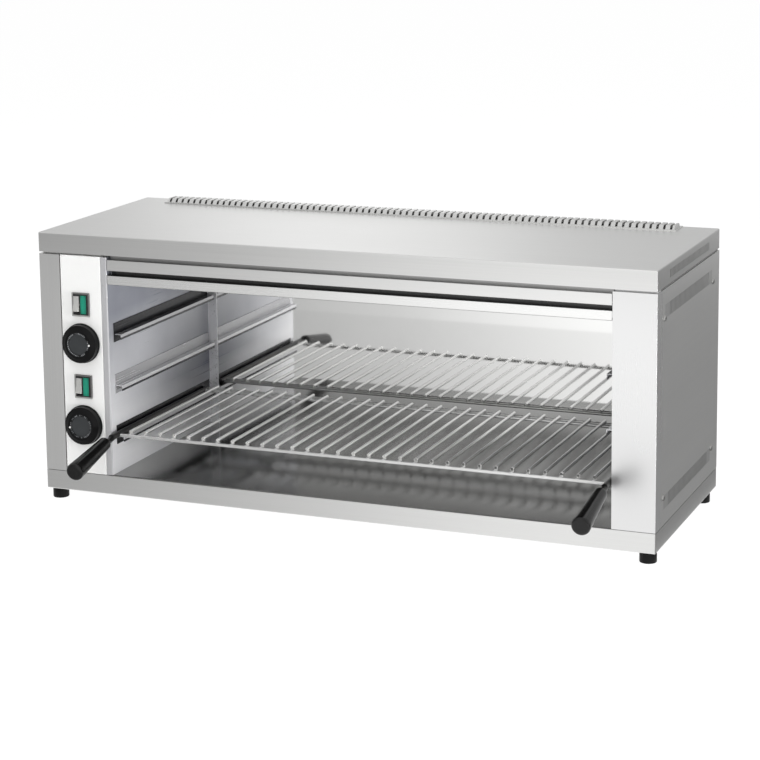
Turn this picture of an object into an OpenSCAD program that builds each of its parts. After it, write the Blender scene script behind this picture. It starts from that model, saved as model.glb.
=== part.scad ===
// Cheese melter: a wide, open-fronted electric grill with a pull-out wire rack.
// Units are millimetres. X runs to the right, Y from front to back, Z up.
// The modules are written with Y = 0 on the front face and Z = 0 under the casing.
// place() then moves them so that the origin is the middle of the whole object's box, on the table.

/* [Casing] */
// Width of the casing
body_w = 820; // [760:10:900]
// Depth of the casing
body_d = 300; // [290:5:360]
// Height of the casing without its feet
body_h = 340; // [330:5:380]
// Thickness of the outer sheet
sheet = 1.2; // [0.8:0.1:1.6]
// Height of the base tray's band
base_h = 25; // [20:1:32]
// Width of the flange inside the base tray's rim
tray_flange = 14; // [8:1:18]
// Height of the top cover's skirt
skirt_h = 25; // [20:1:32]
// Dark gap between the skirt and the panels below it
shadow_gap = 2.6; // [1:0.2:4]
// Gap along the seams between panels
seam = 0.6; // [0.3:0.1:0.9]
// Depth of the flange on top of each front panel
top_return = 10; // [6:1:14]

/* [Front panels] */
// Width of the left corner post
post_w = 30; // [20:1:40]
// How far both corner panels wrap round the side
post_return = 22; // [16:1:30]
// How far a corner panel reaches behind the side panel
post_lap = 18; // [16:1:26]
// Width of the control panel
control_w = 59; // [56:1:70]
// Depth of the control panel's side flanges
control_flange = 8; // [6:1:14]
// Width of the right front panel
right_panel_w = 54; // [30:1:70]
// Height of the upper rail
upper_rail_h = 14.4; // [10:0.2:18]
// Height of the lower rail
lower_rail_h = 12; // [8:0.2:16]
// Open slot between the rails
rail_slot = 6; // [3:0.5:9]
// Gap between the skirt and the upper rail
rail_drop = 5.6; // [3:0.2:8]
// Depth of the rails' flanges
rail_depth = 14; // [11:1:18]
// Height of the lip along the rear of the lower rail's top flange
rail_lip = 3.4; // [1:0.2:4]

/* [Side slots and screws] */
// Width of a ventilation slot in the sides
slot_w = 2; // [1:0.5:3]
// Distance from one side slot to the next
slot_pitch = 6; // [5:0.5:10]
// Height of the slots in the side panels
slot_h = 16.5; // [10:0.5:20]
// Height of the slots in the cover's skirt
skirt_slot_h = 10; // [6:0.5:12]
// Bottom of the lower slots
lower_slot_z = 45; // [40:1:50]
// Bottom of the upper slots
upper_slot_z = 277; // [270:1:282]
// Distance from the front face to the first side slot
slot_front = 56; // [50:1:70]
// Distance from the last side slot to the back face
slot_back = 52; // [48:1:70]
// Height of the lower side screws
side_screw_low_z = 60.5; // [55:0.5:80]
// Height of the upper side screws
side_screw_high_z = 278; // [240:1:285]
// Distance from a side panel's front edge to its front screws
side_screw_front = 9; // [8:0.5:12]
// Distance from the back face to the rear side screws
side_screw_back = 34; // [20:1:38]
// Diameter of the casing screws
screw_d = 4; // [3:0.5:5]
// Diameter of the casing screws' heads
screw_head_d = 8; // [7:0.5:10]
// Height of the casing screws' heads
screw_head_h = 2.2; // [1.5:0.1:3]
// Length of the casing screws behind their heads
screw_l = 8; // [6:0.5:12]

/* [Rear vent] */
// Length of the raised vent strip
vent_w = 726; // [600:10:740]
// Width of the vent strip with its flanges
vent_d = 36; // [30:1:40]
// Height of the vent strip
vent_h = 6; // [4:0.5:9]
// Width of the flat flange along each edge of the vent strip
vent_flange = 3; // [2:0.5:5]
// Depth of the vent strip's sloping faces
vent_slope = 5; // [3:0.5:7]
// Distance from the vent strip to the back face
vent_back = 3; // [2:0.5:8]
// Width of a vent slot
vent_slot_w = 3; // [2:0.5:5]
// Distance from one vent slot to the next
vent_pitch = 9; // [7:0.5:12]

/* [Cavity] */
// Thickness of the cavity's sheets
liner_sheet = 1; // [0.8:0.1:1.4]
// Width of the left wall's flange on the front
liner_flange = 8.4; // [6:0.2:12]
// Outer radius of the bend between the wall and its front flange
liner_bend = 2; // [1.5:0.5:4]
// Width of the strip in each rear corner
corner_strip = 13; // [8:1:16]
// How far the right wall's flange reaches behind the right front panel
right_liner_flange = 14; // [8:1:20]
// Space between the mirror and the back panel
chimney = 11.8; // [10:0.2:20]
// Space between the ceiling and the top of the casing
ceiling_drop = 35; // [32:1:40]
// Thickness of the insulation over the ceiling
insulation_t = 24; // [10:1:26]

/* [Runners] */
// Height of the lowest ledge
ledge_z = 75.4; // [65:0.2:85]
// Height from one ledge to the next
ledge_step = 67.5; // [60:0.5:70]
// Width of a ledge
ledge_w = 11; // [8:0.5:13]
// Height of the lip that hangs from a ledge
ledge_lip = 7; // [4:0.5:9]
// Height of the runner's back above its ledge
runner_up = 14; // [10:1:18]
// Height of the runner's back below its ledge
runner_down = 11; // [8:1:14]
// Distance from the front face to the runners
runner_front = 13; // [10:1:20]
// Distance from the runners to the mirror
runner_back = 5; // [3:1:10]

/* [Rack] */
// Diameter of the side rods
rod_d = 8; // [6:0.5:9]
// Gap between a side rod and the cavity's wall
rod_side_gap = 1.6; // [1:0.2:3]
// Running gap between a side rod and its ledge
rod_ledge_gap = 0.3; // [0.2:0.1:0.6]
// Distance from the rear end of the rods to the mirror
rack_back = 20; // [12:1:30]
// Diameter of the front and rear bars
bar_d = 4.4; // [4:0.2:6]
// Distance from the front face to the front bar
front_bar_y = 5; // [4:0.5:10]
// Distance between the two rear bars
rear_bar_gap = 10; // [6:1:20]
// Diameter of the cross wires
wire_d = 3.8; // [3:0.2:5]
// Distance from one cross wire to the next
wire_pitch = 20.7; // [16:0.1:26]
// Least end of the bars beyond the outer cross wires
wire_margin = 8; // [4:0.5:12]
// Height of the cross wires above the front bar
wire_rise = 5.2; // [4.4:0.1:8]

/* [Handles] */
// Distance from the front face to the bend in the rods
rod_bend_y = 14; // [10:1:30]
// Radius of the bend in the rods, along their axis
rod_bend_r = 20; // [16:1:30]
// Slope of the handles
handle_slope = 12; // [4:1:20]
// Length of rod between its bend and the grip
rod_neck = 13; // [6:1:30]
// Length of rod inside the grip
rod_in_grip = 60; // [30:1:70]
// Length of a grip
grip_l = 85; // [75:1:110]
// Diameter of a grip at its inner end
grip_inner_d = 17; // [14:0.5:20]
// Diameter of a grip at its outer end
grip_outer_d = 23; // [18:0.5:28]
// Rounding of a grip's outer edge
grip_round = 4; // [2:0.5:6]

/* [Controls] */
// Height of the upper knob's axis
upper_knob_z = 198.5; // [190:0.5:205]
// Height of the lower knob's axis
lower_knob_z = 90.5; // [80:0.5:95]
// Height of each switch above its knob
switch_rise = 50.5; // [46:0.5:54]
// Diameter of a knob's skirt
knob_d = 52; // [51:1:56]
// Diameter of a knob's body
knob_body_d = 50; // [44:1:50]
// Diameter of a knob's front edge
knob_front_d = 38; // [34:1:40]
// Height of a knob's front above the panel
knob_h = 12.4; // [12:0.2:18]
// Height at which a knob's body turns into its sloping front
knob_shoulder = 9.6; // [7:0.2:10]
// Thickness of a knob's skirt
knob_skirt_t = 3.4; // [2:0.2:5]
// Gap between a knob and the panel
knob_gap = 0.6; // [0.4:0.1:1]
// Diameter of the disc in a knob's front
knob_disc_d = 27; // [22:1:28]
// Diameter of a knob's pointer dot
pointer_d = 2.6; // [1.6:0.1:2.8]
// Diameter of a regulator's shaft
shaft_d = 6; // [5:0.5:7]
// Radial running gap round a shaft
shaft_gap = 0.05; // [0.02:0.01:0.09]
// Diameter of a regulator's bushing
bushing_d = 10; // [9:0.5:12]
// Width and height of a regulator
regulator_w = 42; // [36:1:48]
// Depth of a regulator's case
regulator_d = 26; // [20:1:34]
// Width of a switch's frame
bezel_w = 25.5; // [24:0.5:30]
// Height of a switch's frame
bezel_h = 31; // [29:0.5:34]
// Thickness of a switch's frame
bezel_t = 2.2; // [1.5:0.1:3]
// Depth of a switch's case behind the panel
switch_d = 24; // [18:1:30]
// Width of a rocker
rocker_w = 7.8; // [6:0.2:8]
// Radius of a rocker's rounded ends about its pivot
rocker_r = 10.8; // [9:0.1:11.4]
// Tilt of a rocker to each side
rocker_tilt = 9; // [5:1:11]
// Diameter of a rocker's pivot pins
rocker_pin_d = 2.4; // [2:0.1:3]
// Width of a switch's lamp lens
lens_w = 8.4; // [7:0.2:8.6]
// Height of a switch's lamp lens
lens_h = 24.5; // [20:0.5:26]

/* [Heating] */
// Diameter of the heating tubes
element_d = 8.5; // [6.5:0.5:10]
// Distance between the two runs of one element
element_spacing = 60; // [45:1:62]
// Distance from the front face to the front element's first run
element_front = 55; // [45:1:60]
// Distance between the front element and the rear one
element_step = 110; // [100:1:112]
// Height of the heating tubes' axis below the ceiling
element_drop = 18; // [14:1:20]
// Thickness of the element hangers
hanger_t = 1.5; // [1:0.1:2]

/* [Feet] */
// Height of the feet
foot_h = 14; // [10:1:25]
// Diameter of the feet
foot_d = 21; // [18:1:24]
// Distance from the side to the middle of a foot
foot_side = 12.5; // [12:0.5:20]
// Distance from the front face to the middle of a front foot
foot_front = 14; // [12:1:30]
// Distance from the back face to the middle of a rear foot
foot_back = 26; // [20:1:40]

/* [Rear fittings] */
// Diameter of the cable that the gland takes
gland_bore_d = 10; // [8:0.5:12]
// Height of the gland above the base tray
gland_rise = 31; // [30:1:36]
// Distance from the side to the gland
gland_side = 48; // [40:1:60]
// How far the gland stands out of the back panel
gland_reach = 20; // [16:1:26]
// Diameter of the earth stud
earth_d = 6; // [5:0.5:6]
// How far the earth stud stands out of the back panel
earth_reach = 14; // [12:0.5:15]
// Distance from the gland to the earth stud
earth_apart = 46; // [40:1:80]

/* [Hidden] */
$fn = 64;

// Shared clearances and colours
cut = 1;          // how far a cutter runs past the face it opens
fit = 0.2;        // loose fit of a fixed piece in its hole
steel = [0.74, 0.74, 0.75];
bright_steel = [0.9, 0.9, 0.91];
dark_steel = [0.2, 0.2, 0.21];
black_plastic = [0.07, 0.07, 0.075];

// Casing
half_w = body_w / 2;
skirt_z = body_h - skirt_h;
panel_low = base_h + seam;
panel_top = skirt_z - shadow_gap;
upstand_x = half_w - sheet - seam;          // outer face of the upstands inside the skirt
upstand_top = body_h - sheet;
side_front = post_return + seam;
back_face = body_d - sheet;                 // front face of the back panel
post_right = -half_w + post_w;
control_left = post_right + seam;
control_right = control_left + control_w;
control_x = (control_left + control_right) / 2;
liner_left = control_right + seam;
right_panel_left = half_w - right_panel_w;
upper_rail_top = skirt_z - rail_drop;
upper_rail_low = upper_rail_top - upper_rail_h;
lower_rail_top = upper_rail_low - rail_slot;
lower_rail_low = lower_rail_top - lower_rail_h;
rail_left = liner_left + liner_flange + seam;  // the rails start at the left wall
rail_right = right_panel_left - seam;

// Side slots
slot_y0 = slot_front;
slot_y1 = body_d - slot_back;
slot_count = floor((slot_y1 - slot_y0 - slot_w) / slot_pitch) + 1;
skirt_slot_z = skirt_z + (skirt_h - sheet - skirt_slot_h) / 2;
screw_front_y = side_front + side_screw_front;
screw_back_y = body_d - side_screw_back;
screw_hole_r = screw_d / 2 + fit;
back_lap = side_screw_back + screw_head_d;  // depth of the back panel's side flanges
back_screw_inset = 70;                      // from the sides to the outer back screws
back_screw_gap = (body_w - 2 * back_screw_inset) / 3;
back_screw_xs = [for (i = [0 : 3]) -half_w + back_screw_inset + i * back_screw_gap];
tray_tab_w = 24;                            // tabs of the tray behind the back panel
tray_tab_h = 11;
back_screw_low_z = base_h + tray_tab_h - 5;
back_screw_high_z = skirt_z + skirt_h / 2;
back_slot_w = 6;
back_slot_h = 22;
back_slot_pitch = 22;
back_slot_rise = 60;                        // from the panel's lower edge to its lower slots
back_slot_drop = 50;                        // from the panel's upper edge to its upper slots
back_slot_rows = [panel_low + back_slot_rise, panel_top - back_slot_drop];
back_slot_count = 25;

// Rear vent
vent_y1 = body_d - vent_back;
vent_y0 = vent_y1 - vent_d;
vent_count = floor((vent_w - 4 * vent_flange - vent_slot_w) / vent_pitch) + 1;
vent_slot_x0 = -((vent_count - 1) * vent_pitch + vent_slot_w) / 2;

// Cavity
floor_top = base_h + sheet;
wall_x = liner_left + liner_flange;         // inner face of the left wall
right_wall_x = right_panel_left + seam;     // inner face of the right wall
cavity_x = (wall_x + right_wall_x) / 2;
mirror_y = back_face - chimney - liner_sheet;
ceiling_z = body_h - ceiling_drop;
behind_panels = sheet + seam / 2;           // where the right wall and the floor start
wall_upper_y = rail_depth + seam;           // the walls' part above the lower rail starts behind it
ledges = [ledge_z, ledge_z + ledge_step, ledge_z + 2 * ledge_step];

// Rack
rod_r = rod_d / 2;
rod_z = ledge_z + rod_r + rod_ledge_gap;
left_rod_x = wall_x + rod_side_gap + rod_r;
right_rod_x = right_wall_x - rod_side_gap - rod_r;
rod_back_y = mirror_y - rack_back;
weld = 0.3;                                 // depth to which welded bars sink into each other
front_bar_z = rod_z - 0.5;
wire_z = front_bar_z + wire_rise;
rear_bar_z = wire_z - wire_d / 2 - bar_d / 2 + weld;
rear_bar_y = rod_back_y - bar_d;
bar_end_gap = 0.05;

// Handles, along the sloping axis from the corner of the bend
bend_tangent = rod_bend_r * tan(handle_slope / 2);
neck_step = 0.02;                           // the sloping neck is a hair thinner than the bend
neck_sink = 0.5;                            // and sinks this far into it
grip_start = rod_neck;
grip_end = grip_start + grip_l;
grip_r = grip_outer_d / 2;
handle_reach = rod_bend_y + (grip_end - grip_round) * cos(handle_slope)
    + (grip_r - grip_round) * sin(handle_slope) + grip_round;

// Controls
knob_zs = [upper_knob_z, lower_knob_z];
switch_zs = [upper_knob_z + switch_rise, lower_knob_z + switch_rise];
bushing_reach = 3.4;                        // how far a bushing stands out of the panel
bushing_hole_r = bushing_d / 2 + fit;
nut_af = bushing_d + 4;
nut_t = 2.4;
shaft_in = 15;                              // how far a shaft reaches behind the panel's front
shaft_out = knob_h - 5;                     // and in front of it, inside the knob
knob_hollow_r = nut_af * 0.5 / cos(30) + 1.5;
disc_t = 1.5;
disc_recess = 0.5;                          // how far a knob's disc lies below the knob's rim
disc_fit = 0.1;
knob_rim = (knob_front_d - knob_disc_d) / 2;  // width of the ring round a knob's disc
pointer_r = knob_disc_d / 2 + knob_rim / 2 - 0.2;
pointer_depth = 1.5;
pointer_stand = 0.1;                        // how far a pointer's dot stands out of the ring
pointer_angles = [90, 262];                 // clockwise from the top, where the pointers stand at rest
switch_w = bezel_w - 2;
switch_h = bezel_h - 3;
window_gap = 0.3;                           // from a rocker to the sides of its window
mid_rib = 1.6;                              // between a switch's two windows
window_shift = -1;                          // the two windows sit a little to the left
window_w = rocker_w + 2 * window_gap;
window_pair_w = window_w + mid_rib + lens_w + 2 * disc_fit;
rocker_x = window_shift - window_pair_w / 2 + window_w / 2;
lens_x = window_shift + window_pair_w / 2 - lens_w / 2 - disc_fit;
lens_depth = 6;
window_h = 2 * (rocker_r + 0.4);
pivot_y = 3;                                // a rocker's pivot lies this far behind the panel's front
rocker_front = 7.4;                         // from the pivot to the rocker's outer corners
rocker_waist = 6;                           // from the pivot to the rocker's middle
rocker_half = rocker_r - 0.9;               // half the height of the rocker's face
rocker_back = 1.6;
rocker_well = 4;                            // clear depth behind a rocker
pin_gap = 0.05;
pin_reach = 0.8;
pin_end_gap = 0.1;
lens_stand = 0.6;                           // how far a lens stands out of its frame

// Heating
element_r = element_d / 2;
element_z = ceiling_z - element_drop;
element_ys = [element_front, element_front + element_step];
turn_gap = 20;                              // from the U-turn to the right wall
element_turn_x = right_wall_x - turn_gap - element_spacing / 2 - element_r;
element_tail = 22;                          // how far a tube reaches behind the left wall
element_left = wall_x - liner_sheet - element_tail;
terminal_l = 14;
terminal_sink = 1;
terminal_r = 1.6;
bushing_r = element_r + 2;
bushing_l = 8;                              // from the wall to the collar's outer end
bushing_nut_t = 6;
bushing_nut_lip = 2;
bushing_flange_lip = 2;
bushing_flange_t = 2;
hanger_rim = 12;                            // metal round the outer tubes, and the hanger's foot
hanger_lip = 3;                             // metal below the tubes
hanger_xs = [cavity_x, element_turn_x - 2 * hanger_rim];

// Feet and rear fittings
foot_xs = [-half_w + foot_side, half_w - foot_side];
foot_ys = [foot_front, body_d - foot_back];
foot_bolt_r = 2.5;
foot_bolt_head_r = 4.6;
foot_bolt_head_h = 3;
foot_recess = 4.5;
foot_nut_r = 4.6;
foot_nut_h = 4;
gland_x = -half_w + gland_side;
gland_z = base_h + gland_rise;
gland_thread_r = gland_bore_d / 2 + 5;
gland_hex_t = 6;
gland_hex_af = 2 * gland_thread_r + 6;
gland_cone = 4;
earth_x = gland_x + earth_apart;
gland_in = 10;                              // how far the gland and the stud reach inside
earth_nut_t = 4;
lock_nut_t = 4;

// Electrics
tab_l = 7;                                  // length of the blade terminals
blade_t = 0.8;
switch_tab_x = 6;
switch_tab_z = 9;
switch_tab_w = 4.8;
regulator_tab_x = 12;
regulator_tab_z = 10;
regulator_tab_w = 6.2;
way_count = 5;                              // ways of the terminal block
way_pitch = 12;
way_r = 2.5;
way_depth = 6;
way_screw_h = 4;
block_end = 7;                              // from the block's end to its first way
block_w = (way_count - 1) * way_pitch + 2 * block_end;
block_d = 20;
block_h = 18;
block_x = control_x - switch_tab_x - 2 * way_pitch - block_end;
block_rear = 95;                            // from the back to the block's front face
block_y = body_d - block_rear;
loom_r = 1.4;
loom_gap = 0.3;

// Placement of the finished model
rear_reach = body_d + gland_reach;
middle_y = (rear_reach - handle_reach) / 2;

module place() {
    translate([0, -middle_y, foot_h]) children();
}

// A box between two opposite corners
module box(low, high) {
    translate(low) cube(high - low);
}

// A rod from a point along +Y, +X or +Z
module rod_y(at, r, length) {
    translate(at) rotate([-90, 0, 0]) cylinder(r = r, h = length);
}

module rod_x(at, r, length) {
    translate(at) rotate([0, 90, 0]) cylinder(r = r, h = length);
}

module rod_z(at, r, length) {
    translate(at) cylinder(r = r, h = length);
}

// A hexagonal nut's blank across flats af, from a point along +Y or +X
module hex_y(at, af, length) {
    translate(at) rotate([-90, 0, 0]) cylinder(r = af / 2 / cos(30), h = length, $fn = 6);
}

module hex_x(at, af, length) {
    translate(at) rotate([0, 90, 0]) cylinder(r = af / 2 / cos(30), h = length, $fn = 6);
}

// The left half of a mirrored pair, or the right one
module on_side(side) {
    if (side < 0) children();
    else mirror([1, 0, 0]) children();
}

// Cutters for one band of side slots, through both sides at once
module side_slots(low_z, height) {
    for (i = [0 : slot_count - 1])
        translate([0, slot_y0 + i * slot_pitch, low_z])
            box([-half_w - cut, 0, 0], [half_w + cut, slot_w, height]);
}

// Cutters for one row of back screws, through every sheet there
module back_screw_holes(z) {
    for (x = back_screw_xs) rod_y([x, body_d - screw_l, z], screw_hole_r, screw_l + cut);
}

// Blade terminal that stands back from a point
module blade(at, width) {
    box(at - [width / 2, 0, blade_t / 2], at + [width / 2, tab_l, blade_t / 2]);
}

// Pan-head screw at a point, its head towards -X
module screw_left(at) {
    translate(at) rotate([0, 90, 0]) {
        translate([0, 0, -screw_head_h]) cylinder(d1 = screw_head_d - 2, d2 = screw_head_d, h = screw_head_h);
        cylinder(d = screw_d, h = screw_l);
    }
}

// ---------------------------------------------------------------- casing

module base_tray() {
    color(steel) difference() {
        union() {
            difference() {
                box([-half_w, 0, 0], [half_w, body_d, base_h]);
                box([-half_w + sheet, sheet, sheet], [half_w - sheet, body_d - sheet, base_h - sheet]);
                box([-half_w + tray_flange, tray_flange, sheet],
                    [half_w - tray_flange, body_d - tray_flange, base_h + cut]);
            }
            for (x = back_screw_xs)
                box([x - tray_tab_w / 2, back_face - seam - sheet, base_h - sheet],
                    [x + tray_tab_w / 2, back_face - seam, base_h + tray_tab_h]);
        }
        for (x = foot_xs, y = foot_ys) rod_z([x, y, -cut], foot_bolt_r + fit, sheet + 2 * cut);
        back_screw_holes(back_screw_low_z);
    }
}

module top_cover() {
    color(steel) difference() {
        box([-half_w, 0, skirt_z], [half_w, body_d, body_h]);
        box([-half_w + sheet, sheet, skirt_z - cut], [half_w - sheet, body_d - sheet, body_h - sheet]);
        box([-vent_w / 2 + 2 * vent_flange, vent_y0 + vent_flange + vent_slope, body_h - sheet - cut],
            [vent_w / 2 - 2 * vent_flange, vent_y1 - vent_flange - vent_slope, body_h + cut]);
        side_slots(skirt_slot_z, skirt_slot_h);
        back_screw_holes(back_screw_high_z);
    }
}

// Section of the vent strip: flat flanges, sloping faces and a flat top, in the Y-Z plane
module vent_section(inset) {
    y0 = vent_y0 + vent_flange + inset;
    y1 = vent_y1 - vent_flange - inset;
    polygon([[y0, body_h - (inset > 0 ? cut : 0)], [y0, body_h], [y0 + vent_slope, body_h + vent_h - inset],
        [y1 - vent_slope, body_h + vent_h - inset], [y1, body_h], [y1, body_h - (inset > 0 ? cut : 0)]]);
}

module vent_bar(inset, length) {
    translate([-length / 2, 0, 0]) rotate([90, 0, 90]) linear_extrude(length) vent_section(inset);
}

module rear_vent_strip() {
    color(steel) difference() {
        union() {
            box([-vent_w / 2, vent_y0, body_h], [vent_w / 2, vent_y1, body_h + sheet]);
            vent_bar(0, vent_w - 2 * vent_flange);
        }
        vent_bar(sheet, vent_w - 2 * vent_flange - 2 * sheet);
        for (i = [0 : vent_count - 1])
            translate([vent_slot_x0 + i * vent_pitch, 0, 0])
                box([0, vent_y0 + vent_flange + sheet, body_h + sheet],
                    [vent_slot_w, vent_y1 - vent_flange - sheet, body_h + vent_h + cut]);
    }
}

// Front plate with a flange and an upstand along its top
module front_plate(x0, x1, low, top) {
    box([x0, 0, low], [x1, sheet, top]);
    box([x0, 0, top - sheet], [x1, top_return, top]);
    box([x0, top_return - sheet, top - sheet], [x1, top_return, upstand_top]);
}

// Front plate, side return and lap of a corner panel on the left
module corner_panel(width) {
    upstand_left = -upstand_x;
    difference() {
        union() {
            box([-half_w, 0, panel_low], [-half_w + width, sheet, panel_top]);
            box([-half_w, 0, panel_low], [-half_w + sheet, post_return, panel_top]);
            box([-half_w, post_return - sheet, panel_low], [upstand_left + sheet, post_return, panel_top]);
            box([upstand_left, post_return - sheet, panel_low],
                [upstand_left + sheet, post_return + post_lap, panel_top - sheet - seam]);
            box([-half_w, 0, panel_top - sheet], [-half_w + width, top_return, panel_top]);
            box([-half_w, 0, panel_top - sheet], [upstand_left + sheet, post_return, panel_top]);
            box([upstand_left, top_return - sheet, panel_top - sheet],
                [-half_w + width, top_return, upstand_top]);
            box([upstand_left, top_return - sheet, panel_top - sheet],
                [upstand_left + sheet, post_return, upstand_top]);
        }
        for (z = [side_screw_low_z, side_screw_high_z])
            rod_x([-half_w - cut, screw_front_y, z], screw_hole_r, 5 * sheet + 2 * cut);
    }
}

module left_corner_post() {
    color(steel) corner_panel(post_w);
}

module right_front_panel() {
    color(bright_steel) mirror([1, 0, 0]) corner_panel(right_panel_w);
}

module control_panel() {
    color(bright_steel) difference() {
        union() {
            front_plate(control_left, control_right, panel_low, panel_top);
            box([control_left, 0, panel_low], [control_left + sheet, control_flange, panel_top]);
            box([control_right - sheet, 0, panel_low], [control_right, control_flange, panel_top]);
        }
        for (z = knob_zs) rod_y([control_x, -cut, z], bushing_hole_r, sheet + 2 * cut);
        for (z = switch_zs)
            box([control_x - switch_w / 2 - fit, -cut, z - switch_h / 2 - fit],
                [control_x + switch_w / 2 + fit, sheet + cut, z + switch_h / 2 + fit]);
    }
}

module front_upper_rail() {
    color(steel) {
        front_plate(rail_left, rail_right, upper_rail_low, upper_rail_top);
        box([rail_left, 0, upper_rail_low], [rail_right, rail_depth, upper_rail_low + sheet]);
    }
}

module front_lower_rail() {
    color(bright_steel) {
        box([rail_left, 0, lower_rail_low], [rail_right, sheet, lower_rail_top]);
        box([rail_left, 0, lower_rail_low], [rail_right, rail_depth, lower_rail_low + sheet]);
        box([rail_left, 0, lower_rail_top - sheet], [rail_right, rail_depth, lower_rail_top]);
        box([rail_left, rail_depth - sheet, lower_rail_top - sheet],
            [rail_right, rail_depth, lower_rail_top + rail_lip * min(1, rail_slot / 6)]);
    }
}

// Left side panel: outer plate, flange under the skirt and upstand that carries the cover
module side_panel() {
    difference() {
        union() {
            box([-half_w, side_front, panel_low], [-half_w + sheet, body_d, panel_top]);
            box([-half_w, side_front, panel_top - sheet], [-upstand_x + sheet, back_face - seam, panel_top]);
            box([-upstand_x, side_front, panel_top - sheet],
                [-upstand_x + sheet, back_face - seam, upstand_top]);
        }
        intersection() {
            union() {
                side_slots(lower_slot_z, slot_h);
                side_slots(upper_slot_z, slot_h);
            }
            box([-half_w - cut, 0, 0], [-half_w + sheet + seam / 2, body_d, panel_top - sheet]);
        }
        for (y = [screw_front_y, screw_back_y], z = [side_screw_low_z, side_screw_high_z])
            rod_x([-half_w - cut, y, z], screw_hole_r, 2 * sheet + 2 * cut);
    }
}

module left_side_panel() {
    color(steel) side_panel();
}

module right_side_panel() {
    color(steel) mirror([1, 0, 0]) side_panel();
}

module back_panel() {
    color(steel) difference() {
        union() {
            box([-upstand_x, back_face, panel_low], [upstand_x, body_d, panel_top]);
            for (side = [-1, 1]) on_side(side) {
                box([-upstand_x, body_d - back_lap, panel_low],
                    [-upstand_x + sheet, body_d, panel_top - sheet - seam]);
            }
            box([-upstand_x + sheet + seam, back_face - seam - sheet, panel_top - sheet],
                [upstand_x - sheet - seam, body_d, panel_top]);
            box([-upstand_x + sheet + seam, back_face - seam - sheet, panel_top - sheet],
                [upstand_x - sheet - seam, back_face - seam, upstand_top]);
        }
        for (z = back_slot_rows, i = [0 : back_slot_count - 1])
            translate([(i - (back_slot_count - 1) / 2) * back_slot_pitch, back_face, z])
                box([-back_slot_w / 2, -cut, 0], [back_slot_w / 2, sheet + cut, back_slot_h]);
        for (z = [side_screw_low_z, side_screw_high_z])
            rod_x([-half_w - cut, screw_back_y, z], screw_hole_r, body_w + 2 * cut);
        back_screw_holes(back_screw_low_z);
        back_screw_holes(back_screw_high_z);
        rod_y([gland_x, back_face - cut, gland_z], gland_thread_r + fit, sheet + 2 * cut);
        rod_y([earth_x, back_face - cut, gland_z], earth_d / 2 + fit, sheet + 2 * cut);
    }
}

module side_screws() {
    color(bright_steel)
        for (side = [-1, 1], y = [screw_front_y, screw_back_y], z = [side_screw_low_z, side_screw_high_z])
            on_side(side) screw_left([-half_w, y, z]);
}

module back_screws() {
    color(bright_steel)
        for (x = back_screw_xs, z = [back_screw_low_z, back_screw_high_z])
            translate([x, body_d, z]) rotate([0, 0, -90]) screw_left([0, 0, 0]);
}

// Foot: a turned block with a recess for the bolt's head
module foot(i, j) {
    r = foot_d / 2;
    color(black_plastic) translate([foot_xs[i], foot_ys[j], -foot_h]) difference() {
        rotate_extrude()
            polygon([[0, 0], [r - 2, 0], [r - 1, 1], [r, foot_h - 2], [r, foot_h], [0, foot_h]]);
        translate([0, 0, -cut]) cylinder(r = foot_bolt_r + fit, h = foot_h + 2 * cut);
        translate([0, 0, -cut]) cylinder(r = foot_bolt_head_r + fit, h = foot_recess + cut);
    }
}

// Bolt through each foot and the tray, with its nut on the tray
module foot_screws() {
    color(bright_steel) for (x = foot_xs, y = foot_ys) {
        rod_z([x, y, -foot_h + foot_recess - foot_bolt_head_h], foot_bolt_head_r, foot_bolt_head_h);
        rod_z([x, y, -foot_h + foot_recess - foot_bolt_head_h], foot_bolt_r,
            foot_h - foot_recess + foot_bolt_head_h + sheet + foot_nut_h + 3);
        difference() {
            rod_z([x, y, sheet], foot_nut_r, foot_nut_h, $fn = 6);
            rod_z([x, y, sheet - cut], foot_bolt_r + disc_fit, foot_nut_h + 2 * cut);
        }
    }
}

// ---------------------------------------------------------------- cavity

module cavity_floor() {
    color([0.5, 0.5, 0.51])
        box([wall_x - liner_sheet, behind_panels, base_h],
            [right_wall_x + liner_sheet, mirror_y + liner_sheet, floor_top]);
}

// Wall section seen from above: front flange, round bend, wall and rear strip
module left_wall_section() {
    bend_inner = liner_bend - liner_sheet;
    translate([liner_left, 0]) square([wall_x - liner_bend - liner_left, liner_sheet]);
    intersection() {
        translate([wall_x - liner_bend, liner_bend]) difference() {
            circle(r = liner_bend);
            circle(r = bend_inner);
        }
        translate([wall_x - liner_bend, 0]) square(liner_bend);
    }
    translate([wall_x - liner_sheet, liner_bend]) square([liner_sheet, mirror_y - liner_bend]);
    translate([wall_x - liner_sheet, mirror_y - liner_sheet]) square([corner_strip + liner_sheet, liner_sheet]);
}

module cavity_left_wall() {
    color([0.62, 0.64, 0.67]) difference() {
        union() {
            translate([0, 0, floor_top]) linear_extrude(ceiling_z - floor_top) left_wall_section();
            translate([0, 0, floor_top]) linear_extrude(panel_top - floor_top) intersection() {
                left_wall_section();
                translate([liner_left, 0]) square([liner_flange, rail_depth]);
            }
        }
        for (y0 = element_ys, run = [0, element_spacing])
            rod_x([wall_x - liner_sheet - cut, y0 + run, element_z], bushing_r + fit, liner_sheet + 2 * cut);
    }
}

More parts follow.
